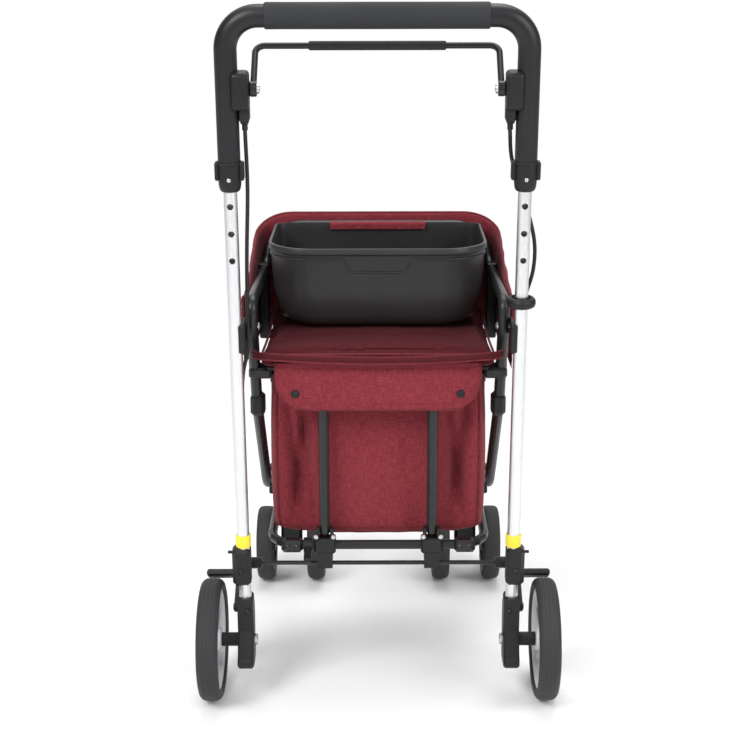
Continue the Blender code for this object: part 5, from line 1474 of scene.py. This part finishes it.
@dataclass
class Handle:
    """The padded handle with its foam grip, on the body that slides up and down."""

    top: float = 0.851
    foot: float = 0.6715
    corner: float = 0.04
    radius: float = 0.014
    grip_radius: float = 0.016
    grip_length: float = 0.27

    def build(self) -> None:
        """Make the bent tube and the grip."""
        corners = [Vector((-LEG_X, 0, self.foot)), Vector((-LEG_X, 0, self.top)),
                   Vector((LEG_X, 0, self.top)), Vector((LEG_X, 0, self.foot))]
        path = Shape.rounded(corners, [self.corner] * 2, 16)
        bm = Shape.leaned(Shape.tube(path, self.radius, 40))
        Piece("handle_bar", Finishes.HANDLE_PAINT, "handle", ("handle_tube",)).make(bm)
        half, outer = self.grip_length / 2, self.grip_radius
        inner = self.radius - 0.0005
        profile = [(inner, -half), (outer - 0.0016, -half), (outer - 0.0005, -half + 0.0006),
                   (outer, -half + 0.002), (outer - 0.0001, -half + 0.03), (outer, 0.0),
                   (outer - 0.0001, half - 0.03), (outer, half - 0.002),
                   (outer - 0.0005, half - 0.0006), (outer - 0.0016, half), (inner, half)]
        bm = Shape.leaned(Shape.turned(profile, (0, 0, self.top), Axis.X, 48))
        Piece("foam_grip", Finishes.FOAM, "handle", ("handle_grip",)).make(bm)


@dataclass
class Legs:
    """The two bright leg tubes with their rows of height holes."""

    radius: float = 0.0085
    foot: float = 0.045
    top: float = 0.696
    wall: float = 0.0015
    hole: float = 0.004
    button: float = 0.6712 - 0.0332 / 2 - 0.0006
    pitch: float = 0.035

    def build(self) -> None:
        """Make both tubes and drill them."""
        for side in Side:
            bore = self.radius - self.wall
            profile = [(bore, self.foot), (self.radius, self.foot), (self.radius, self.top),
                       (bore, self.top), (bore, self.foot)]
            bm = Shape.turned(profile, (side.sign * LEG_X, 0, 0), Axis.Z, 40)
            drills = []
            for step in range(4):
                z = self.button - self.pitch * step
                ends = [Vector((side.sign * LEG_X, y, z)) for y in (-0.02, -0.004)]
                drills.append(Shape.tube(ends, self.hole, 20))
            bm = Shape.leaned(Shape.carved(bm, *drills))
            Piece("leg_tube_" + side.word, Finishes.ALUMINIUM, "rear_frame",
                  ("leg_" + side.word,)).make(bm)


@dataclass
class RearWheel:
    """One large wheel: grooved tyre, pale rim, spokes and hub."""

    side: Side
    offset: float = 0.2308
    radius: float = 0.084
    width: float = 0.03
    depth: float = 0.0145
    hub: float = 0.0165
    spokes: int = 5

    @property
    def centre(self) -> Vector:
        """Return the middle of the wheel."""
        return Vector((self.side.sign * self.offset, AXLE_Y, self.radius))

    def build(self) -> None:
        """Make the tyre and the rim."""
        half, outer, inner = self.width / 2, self.radius, self.radius - self.depth
        body = "rear_wheel_" + self.side.word
        wall = [(inner, -half + 0.003), (inner + 0.002, -half + 0.0012), (outer - 0.008, -half),
                (outer - 0.005, -half + 0.0008), (outer - 0.0022, -half + 0.003),
                (outer - 0.0006, -half + 0.006)]
        profile = list(wall)
        for groove in (-0.0055, 0.0, 0.0055):
            profile += [(outer, groove - 0.0016), (outer - 0.0001, groove - 0.0008),
                        (outer - 0.0005, groove - 0.0004), (outer - 0.0005, groove + 0.0004),
                        (outer - 0.0001, groove + 0.0008), (outer, groove + 0.0016)]
        profile += [(radius, -height) for radius, height in reversed(wall)]
        profile.append(wall[0])
        bm = Shape.turned(profile, self.centre, Axis.X, 128)
        Piece("rear_tread_" + self.side.word, Finishes.RUBBER, body,
              ("rear_tyre_" + self.side.word,)).make(bm, TYRE_CREASE)
        seat, hub = inner - 0.0003, self.hub
        ring = Shape.symmetric([(seat - 0.0115, -0.004), (seat - 0.009, -0.0046),
                                (seat - 0.006, -half + 0.0046), (seat - 0.005, -half + 0.004),
                                (seat, -half + 0.004)])
        boss = Shape.symmetric([(0.0054, -half + 0.002), (hub - 0.002, -half + 0.002),
                                (hub, -half + 0.0035), (hub + 0.001, -0.006),
                                (hub + 0.0085, -0.0038)])
        shapes = [Shape.turned(ring, self.centre, Axis.X, 128),
                  Shape.turned(boss, self.centre, Axis.X, 64)]
        for index in range(self.spokes):
            shapes.append(self.spoke(math.tau * index / self.spokes, seat))
        Piece("rear_wheel_rim_" + self.side.word, Finishes.RIM, body,
              ("rear_rim_" + self.side.word,)).make(Shape.joined(*shapes))

    def spoke(self, turn: float, seat: float) -> Mesh:
        """Return one waisted spoke with a rib down its middle."""
        low, high = self.hub + 0.004, seat - 0.0095
        bm = Shape.block((0.0074, 0.022, high - low), (0, 0, (low + high) / 2), 0.0012, 2)
        for z in (low + 0.016, high - 0.01):
            bmesh.ops.bisect_plane(bm, geom=bm.verts[:] + bm.edges[:] + bm.faces[:],
                                   plane_co=(0, 0, z), plane_no=(0, 0, 1))
        for vert in bm.verts:
            share = (vert.co.z - low) / (high - low)
            vert.co.y *= 0.62 + 0.25 * abs(share - 0.5) * 2 + 0.3 * share
        rib = Shape.block((0.013, 0.003, high - low), (0, 0, (low + high) / 2), 0.0008, 2)
        bm = Shape.joined(bm, rib)
        bmesh.ops.rotate(bm, matrix=Matrix.Rotation(turn, 3, "X"), verts=bm.verts)
        return Shape.shifted(bm, self.centre)


@dataclass
class CasterWheels:
    """The twin small wheels of one caster."""

    side: Side
    offset: float = 0.143
    twin: float = 0.041
    ahead: float = 0.404
    radius: float = 0.06
    width: float = 0.028
    bore: float = 0.0044

    def build(self) -> None:
        """Make the tyre and the dished core of each wheel."""
        half, outer = self.width / 2, self.radius
        for turn in (-1, 1):
            word = "outer" if turn == self.side.sign else "inner"
            name = f"caster_wheel_{self.side.word}_{word}"
            x = self.side.sign * self.offset + turn * self.twin
            centre = from_axle(x, self.ahead, self.radius)
            profile = Shape.symmetric([(outer - 0.013, -half + 0.001), (outer - 0.008, -half),
                                       (outer - 0.0045, -half + 0.0008),
                                       (outer - 0.0016, -half + 0.0032),
                                       (outer - 0.0002, -half + 0.007), (outer, -0.003)])
            tyre = Shape.turned(profile, centre, Axis.X, 96)
            Piece(name + "_tyre", Finishes.RUBBER, name, (name,)).make(tyre, TYRE_CREASE)
            core = Shape.symmetric([(self.bore, -half), (0.013, -half), (0.015, -half + 0.003),
                                    (0.026, -half + 0.006), (outer - 0.02, -half + 0.005),
                                    (outer - 0.0165, -half + 0.001),
                                    (outer - 0.0132, -half + 0.0006)])
            Piece(name + "_core", Finishes.PLASTIC, name).make(
                Shape.turned(core, centre, Axis.X, 96), MOULD_CREASE)


class FrontFrame:
    """The bent black tubes of the front frame."""

    @staticmethod
    def build() -> None:
        """Make the hoop and the cross tube."""
        right = [from_axle(SIDE_X, 0.055, 0.414), from_axle(SIDE_X, 0.0, 0.565),
                 from_axle(SIDE_X, 0.262, 0.557), from_axle(SIDE_X - 0.012, 0.295, 0.612)]
        left = [Vector((-spot.x, spot.y, spot.z)) for spot in right[::-1]]
        path = Shape.rounded(right + left, [0.016, 0.03, 0.05, 0.05, 0.03, 0.016], 10)
        Piece("hoop_tube", Finishes.PAINT, "front_frame", ("backrest_hoop",)).make(
            Shape.tube(path, BAR_RADIUS, 28))
        ends = [from_axle(x, 0.4, 0.186) for x in (-0.133, 0.133)]
        Piece("caster_cross_tube", Finishes.PAINT, "front_frame", ("front_cross_tube",)).make(
            Shape.tube(ends, BAR_RADIUS, 28))


@dataclass
class BrakeControls:
    """The squeeze bar with its sleeve, and the rod between the legs."""

    bar: tuple[float, float] = (0.0585, 0.807)
    radius: float = 0.004

    def build(self) -> None:
        """Make the bar, the sleeve and the cross rod."""
        corners = [Vector((-LEVER_X, *LEVER_PIVOT)), Vector((-LEVER_X, *self.bar)),
                   Vector((LEVER_X, *self.bar)), Vector((LEVER_X, *LEVER_PIVOT))]
        path = Shape.rounded(corners, [0.012, 0.012], 10)
        bar = Shape.tube(path, self.radius, 20)
        eye = Shape.symmetric([(0.003, -0.0042), (0.0085, -0.0042), (0.0095, -0.0032)])
        eyes = [Shape.turned(eye, (side.sign * LEVER_X, *LEVER_PIVOT), Axis.X, 32)
                for side in Side]
        bm = Shape.leaned(Shape.joined(bar, *eyes))
        Piece("squeeze_bar", Finishes.PAINT, "brake_lever", ("brake_bar",)).make(bm)
        profile = [(0.0043, -0.085), (0.005, -0.085), (0.0057, -0.0843), (0.00575, -0.08),
                   (0.00575, 0.08), (0.0057, 0.0843), (0.005, 0.085), (0.0043, 0.085)]
        sleeve = Shape.leaned(Shape.turned(profile, (0, *self.bar), Axis.X, 32))
        Piece("squeeze_sleeve", Finishes.FOAM, "brake_lever", ("brake_sleeve",)).make(sleeve)
        rod = Shape.tube([from_axle(x, 0.02, 0.19) for x in (-0.172, 0.172)], 0.003, 20)
        Piece("leg_cross_rod", Finishes.PAINT, "rear_frame", ("cross_rod",)).make(rod)


@dataclass
class BrakeHousing:
    """The housing on an upright's inner side: a saddle, the cable box and the pivot."""

    side: Side

    def build(self) -> None:
        """Make the housing and its pivot pin."""
        y, z = LEVER_PIVOT
        saddle = Shape.block((0.0215, 0.0345, 0.046), (0.1668, 0.001, z - 0.001), 0.0055, 4)
        bore = Shape.tube([Vector((LEG_X, 0, z - 0.06)), Vector((LEG_X, 0, z + 0.06))], 0.0144, 48)
        middle = LEVER_X + 0.0113
        box = Shape.block((0.013, 0.02, 0.034), (middle, y - 0.004, z - 0.0215), 0.003, 3)
        cap = Shape.block((0.01, 0.013, 0.006), (middle, y - 0.004, z - 0.0385), 0.0015, 2)
        inner = LEVER_X + 0.0046
        boss = [(0.0, inner), (0.0105, inner), (0.013, inner + 0.001), (0.0145, inner + 0.003),
                (0.0145, inner + 0.007), (0.0, inner + 0.007)]
        disc = Shape.turned(boss, (0, y, z), Axis.X, 40)
        bm = Shape.joined(Shape.carved(saddle, bore), box, cap, disc)
        name = "brake_housing_" + self.side.word
        Piece(name + "_shell", Finishes.PLASTIC, "handle", (name,)).make(
            Shape.on_side(bm, self.side), MOULD_CREASE)
        head = LEVER_X - 0.0046
        pin = [(0.0, head - 0.0034), (0.003, head - 0.0034), (0.005, head - 0.0028),
               (0.006, head - 0.001), (0.006, head), (0.0029, head), (0.0029, inner + 0.001),
               (0.0, inner + 0.001)]
        bm = Shape.turned(pin, (0, y, z), Axis.X, 32)
        Piece(name + "_pin", Finishes.STEEL, "handle").make(
            Shape.on_side(bm, self.side), MOULD_CREASE)


@dataclass
class FoldHinge:
    """The saddle on a leg's inner side, its ear and the pin that the front frame turns on."""

    side: Side
    pivot: tuple[float, float] = (0.0474, 0.4436)

    def build(self) -> None:
        """Make the saddle with its ear, and the pin."""
        y, z = self.pivot
        ear = SIDE_X + BAR_RADIUS + 0.0006
        saddle = Shape.block((0.0085, 0.021, 0.038), (LEG_X - 0.0082, 0.0015, z), 0.0026, 3)
        bore = Shape.tube([Vector((LEG_X, 0, z - 0.05)), Vector((LEG_X, 0, z + 0.05))], 0.0088, 40)
        arm = Shape.block((0.004, y - 0.002, 0.023), (ear + 0.002, y / 2 + 0.002, z), 0.0012, 2)
        eye = Shape.turned([(0.0, ear), (0.0112, ear), (0.012, ear + 0.0008),
                            (0.012, ear + 0.0032),
                            (0.0112, ear + 0.004), (0.0, ear + 0.004)], (0, y, z), Axis.X, 40)
        bm = Shape.joined(Shape.carved(saddle, bore), arm, eye)
        name = "hinge_plate_" + self.side.word
        Piece(name + "_plate", Finishes.PLASTIC, "rear_frame", (name,)).make(
            Shape.on_side(bm, self.side), MOULD_CREASE)
        inner = SIDE_X - BAR_RADIUS - 0.0003
        pin = [(0.0, inner - 0.003), (0.0035, inner - 0.0025), (0.0052, inner - 0.0008),
               (0.0052, inner), (0.003, inner), (0.003, ear + 0.0038), (0.0052, ear + 0.0038),
               (0.0052, ear + 0.0052), (0.0035, ear + 0.0066), (0.0, ear + 0.0066)]
        bm = Shape.turned(pin, (0, y, z), Axis.X, 32)
        Piece(name + "_pin", Finishes.STEEL, "rear_frame").make(
            Shape.on_side(bm, self.side), MOULD_CREASE)


@dataclass
class BrakeCable:
    """One brake cable, in an upper and a lower half."""

    side: Side
    radius: float = 0.0025
    split: float = 0.515

    def route(self) -> list[Vector]:
        """Return the cable's points along the leg, from the housing to the yellow collar."""
        x = LEG_X
        start = [(x - 0.0207, 0.001, 0.7227), (x - 0.0207, 0.001, 0.7107)]
        lower = [(x - 0.0045, 0.0125, 0.36), (x - 0.004, 0.0122, 0.3), (x - 0.0038, 0.0126, 0.25),
                 (x - 0.002, 0.0128, 0.205)]
        if self.side is Side.LEFT:
            middle = [(x - 0.021, 0.006, 0.64), (x - 0.017, 0.013, 0.56), (x - 0.015, 0.0165, 0.5),
                      (x - 0.0142, 0.0168, 0.445), (x - 0.0135, 0.0165, 0.422),
                      (x - 0.007, 0.0135, 0.392)]
        else:
            middle = [(x - 0.015, 0.021, 0.67), (x + 0.002, 0.025, 0.62), (x + 0.0155, 0.02, 0.57),
                      (x + 0.016, 0.02, 0.53), (x + 0.0075, 0.0225, 0.494),
                      (x + 0.0006, 0.0205, 0.464), (x - 0.0004, 0.0195, 0.438),
                      (x - 0.0016, 0.0175, 0.414), (x - 0.0034, 0.0145, 0.388)]
        knots = [Vector(spot) for spot in start + middle + lower]
        knots += [Vector((x, 0.0125, 0.1751)), Vector((x, 0.0125, 0.1631))]
        knots = [2 * knots[0] - knots[1]] + knots + [2 * knots[-1] - knots[-2]]
        fine: list[Vector] = []
        for p0, p1, p2, p3 in zip(knots, knots[1:], knots[2:], knots[3:]):
            for step in range(12):
                t = step / 12
                fine.append(0.5 * (2 * p1 + (p2 - p0) * t + (2 * p0 - 5 * p1 + 4 * p2 - p3) * t * t
                                   + (3 * p1 - p0 - 3 * p2 + p3) * t ** 3))
        fine.append(knots[-2])
        return fine

    def build(self) -> None:
        """Make the two halves of the cable and the ferrule at its top."""
        fine = self.route()
        turn = next(index for index, spot in enumerate(fine) if spot.z < self.split)
        name = "brake_cable_" + self.side.word
        tip = [(0.0026, 0.0), (0.0036, 0.0006), (0.0036, 0.008), (0.0026, 0.0088), (0.0026, 0.0)]
        ferrule = Shape.turned(tip, fine[0] - Vector((0, 0, 0.0095)), Axis.Z, 24)
        upper = Shape.joined(Shape.tube(fine[:turn + 1], self.radius, 14), ferrule)
        piece = Piece(name + "_upper", Finishes.CABLE, "rear_frame").make(
            Shape.on_side(upper, self.side), CLOTH_CREASE)
        top, foot = fine[0].z, fine[turn].z
        on_leg(self.side.sign * fine[turn].x, fine[turn].y, foot)
        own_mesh(piece)
        lower = Shape.on_side(Shape.tube(fine[turn:], self.radius, 14), self.side)
        Piece(name + "_lower", Finishes.CABLE, "rear_frame", (name,)).make(lower, CLOTH_CREASE)


@dataclass
class Fasteners:
    """Bright buttons and rivet heads."""

    def build(self) -> None:
        """Make the two height buttons and the rivets of the stay clevises."""
        for side in Side:
            dome = [(0.0, -0.0004), (0.0013, -0.0003), (0.0023, 0.0003), (0.0029, 0.0014),
                    (0.0029, 0.0105), (0.0, 0.0105)]
            bm = Shape.turned(dome, (side.sign * LEG_X, -0.0156, 0.654), Axis.Y, 32)
            Piece("height_button_" + side.word, Finishes.STEEL, "button_" + side.word,
                  ("snap_button_" + side.word,)).make(Shape.leaned(bm), MOULD_CREASE)
            self.collar(side)
        head = [(0.0, -0.0024), (0.0016, -0.0022), (0.003, -0.0014), (0.0036, 0.0),
                (0.0036, 0.003), (0.0, 0.003)]
        places = [from_axle(side.sign * 0.0735 + turn * 0.0118, 0.008, 0.233)
                  for side in Side for turn in (-1, 1)]
        heads = Shape.joined(*(Shape.turned(head, place, Axis.Y, 28) for place in places))
        Piece("clevis_rivets", Finishes.STEEL, "bag_carrier").make(heads, MOULD_CREASE)
        band = [(0.0089, -0.005), (0.011, -0.007), (0.015, -0.0076), (0.0176, -0.006),
                (0.0186, -0.0025),
                (0.0182, 0.0015), (0.0162, 0.0042), (0.013, 0.005), (0.0118, 0.003),
                (0.0104, 0.0034),
                (0.0092, 0.006), (0.0089, 0.006), (0.0089, -0.005)]
        bm = Shape.turned(band, (LEG_X, 0, 0.4934), Axis.Z, 64)
        Piece("cable_ring_band", Finishes.PLASTIC, "rear_frame", ("cable_ring",)).make(
            Shape.leaned(bm), TRAY_CREASE)

    def collar(self, side: Side) -> None:
        """Make the sleeve at an upright's foot, with the two grips at its sides."""
        shell = [(0.0091, 0.6375), (0.0108, 0.6376), (0.0122, 0.6388), (0.0134, 0.642),
                 (0.0141, 0.647),
                 (0.0143, 0.653), (0.0144, 0.6709), (0.0149, 0.6713), (0.0155, 0.6722),
                 (0.0155, 0.6745),
                 (0.015, 0.6752), (0.0143, 0.6752), (0.0143, 0.6712), (0.0091, 0.6712),
                 (0.0091, 0.6375)]
        sleeve = Shape.turned(shell, (0, 0, 0), Axis.Z, 64)
        grips = [Shape.block((0.006, 0.015, 0.023), (turn * 0.0152, 0, 0.663), 0.0022, 3)
                 for turn in (-1, 1)]
        bm = Shape.shifted(Shape.joined(sleeve, *grips), (side.sign * LEG_X, 0, 0))
        name = "handle_collar_" + side.word
        Piece(name + "_sleeve", Finishes.PLASTIC, "handle", (name,)).make(
            Shape.leaned(bm), MOULD_CREASE)


# The model's own pieces that stay


class Carried:
    """Gives every node of the model that is shown its finish."""

    BY_WORD: tuple[tuple[str, Finish], ...] = (
        ("leg_bracket", Finishes.PLASTIC), ("front_leg", Finishes.PAINT),
        ("leg_", Finishes.ALUMINIUM), ("handle_tube", Finishes.HANDLE_PAINT),
        ("grip", Finishes.FOAM), ("sleeve", Finishes.FOAM), ("cable_collar", Finishes.YELLOW),
        ("cable_ring", Finishes.PLASTIC), ("brake_cable", Finishes.CABLE),
        ("tyre", Finishes.RUBBER), ("rim", Finishes.RIM), ("axle", Finishes.STEEL),
        ("button", Finishes.STEEL), ("caster_wheel", Finishes.RUBBER),
        ("tray_strap", Finishes.BINDING), ("tray", Finishes.TRAY), ("board", Finishes.PLASTIC),
        ("bag_rail", Finishes.PAINT), ("bag_stay", Finishes.PAINT), ("base_tube", Finishes.PAINT),
        ("cross", Finishes.PAINT), ("hoop", Finishes.PAINT), ("brake_bar", Finishes.PAINT))

    def finish_for(self, node: str) -> Finish:
        """Return the finish of a node by the words in its name."""
        for word, finish in self.BY_WORD:
            if word in node:
                return finish
        return Finishes.PLASTIC

    def dress(self, nodes: dict[str, Object]) -> None:
        """Give each node its material.

        Args:
            nodes: The model's nodes by name.
        """
        for name, made in nodes.items():
            look = self.finish_for(name).material()
            if made.material_slots:
                for place in made.material_slots:
                    place.material = look
            else:
                made.data.materials.append(look)


# Room, light and camera


@dataclass
class Studio:
    """A white floor, soft light from all round and the camera behind the user's side."""

    size: int = 736
    focal_pixels: float = 1491.0
    pitch: float = 16.0
    height: float = 1.02
    distance: float = 1.89
    across: float = 378.0
    raised: float = 1.5
    roll: float = -0.002

    def floor(self) -> None:
        """Make the white floor."""
        made = bpy.data.materials.new("white floor")
        made.use_nodes = True
        wire = Wiring(made.node_tree)
        shader = made.node_tree.nodes["Principled BSDF"]
        shader.inputs["Base Color"].default_value = (0.96, 0.96, 0.965, 1.0)
        shader.inputs["Roughness"].default_value = 0.75
        shader.inputs["Specular IOR Level"].default_value = 0.2
        where = wire.add("TexCoord").outputs["Object"]
        shade = wire.cloudy(where, 1.2, 2.0)
        tone = wire.mix(shade, (0.955, 0.955, 0.96, 1.0), (0.97, 0.97, 0.975, 1.0))
        wire.fill(shader.inputs["Base Color"], tone)
        far = wire.add("VectorMath", {"operation": "LENGTH"})
        wire.fill(far.inputs[0], where)
        share = wire.span(far.outputs["Value"], 0.0, 1.0, 0.45, 1.15)
        share = wire.times(share, wire.add("LightPath").outputs["Is Camera Ray"])
        glow = wire.add("Emission", None, Color=(1.0, 1.0, 1.0, 1.0), Strength=1.0)
        both = wire.either(share, shader.outputs[0], glow.outputs[0])
        wire.fill(made.node_tree.nodes["Material Output"].inputs["Surface"], both)
        bm = bmesh.new()
        bmesh.ops.create_circle(bm, cap_ends=True, radius=40.0, segments=64)
        mesh = bpy.data.meshes.new("floor")
        bm.to_mesh(mesh)
        bm.free()
        mesh.materials.append(made)
        ground = bpy.data.objects.new("floor", mesh)
        bpy.context.scene.collection.objects.link(ground)

    def world(self) -> None:
        """Light the room evenly, and show it white to the camera and in reflections."""
        room = bpy.data.worlds.new("room")
        bpy.context.scene.world = room
        room.use_nodes = True
        wire = Wiring(room.node_tree)
        for item in list(room.node_tree.nodes):
            room.node_tree.nodes.remove(item)
        rays = wire.add("LightPath").outputs
        towards = wire.add("SeparateXYZ", None, Vector=wire.add("TexCoord").outputs["Generated"])
        sideways = wire.sum("ABSOLUTE", towards.outputs["X"])
        panel = wire.span(sideways, 1.0, 0.16, 0.45, 0.8)
        seen = wire.sum("MAXIMUM", rays["Is Camera Ray"], rays["Is Transmission Ray"])
        lit = wire.either(rays["Is Glossy Ray"], wire.white(0.58), wire.white(panel))
        out = wire.add("OutputWorld")
        wire.fill(out.inputs["Surface"], wire.either(seen, lit, wire.white(1.0)))

    def lamp(self, name: str, place: Sequence[float], aim: Sequence[float], size: float,
             power: float) -> None:
        """Hang one soft lamp."""
        light = bpy.data.lights.new(name, "AREA")
        light.shape = "DISK"
        light.size = size
        light.energy = power
        made = bpy.data.objects.new(name, light)
        made.location = place
        made.rotation_euler = (Vector(aim) - Vector(place)).to_track_quat("-Z", "Y").to_euler()
        bpy.context.scene.collection.objects.link(made)

    def camera(self) -> None:
        """Stand the camera where the photograph was taken."""
        lens = bpy.data.cameras.new("camera")
        lens.sensor_width = 36.0
        lens.lens = self.focal_pixels / self.size * lens.sensor_width
        lens.shift_x = (self.size / 2 - self.across) / self.size
        lens.shift_y = -self.raised / self.size
        made = bpy.data.objects.new("camera", lens)
        made.location = (0.0, AXLE_Y - self.distance, self.height)
        tilt = Matrix.Rotation(math.radians(90.0 - self.pitch), 3, "X")
        made.rotation_euler = (tilt @ Matrix.Rotation(self.roll, 3, "Z")).to_euler()
        bpy.context.scene.collection.objects.link(made)
        bpy.context.scene.camera = made

    def build(self) -> None:
        """Make the room, its light and the camera."""
        bpy.context.scene.view_settings.view_transform = "Standard"
        self.floor()
        self.world()
        self.lamp("key", (-1.6, -2.1, 2.5), (0.0, 0.0, 0.45), 1.5, 66.0)
        self.lamp("fill", (1.7, -1.4, 1.6), (0.0, 0.0, 0.4), 1.6, 26.0)
        self.lamp("top", (0.2, 0.6, 3.0), (0.0, 0.0, 0.4), 1.8, 34.0)
        self.camera()


def main() -> None:
    """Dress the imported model."""
    logging.basicConfig(level=logging.INFO, format="%(message)s")
    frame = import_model()
    Studio().build()
    Carried().dress(frame["nodes"])
    Bag().build()
    PocketFlap().build()
    Seat().build()
    Hood().build()
    Tray().build()
    Handle().build()
    Legs().build()
    BrakeControls().build()
    FrontFrame().build()
    Fasteners().build()
    for side in Side:
        BrakeCable(side).build()
        BrakeHousing(side).build()
        FoldHinge(side).build()
        RearWheel(side).build()
        CasterWheels(side).build()


if __name__ == "__main__":
    main()
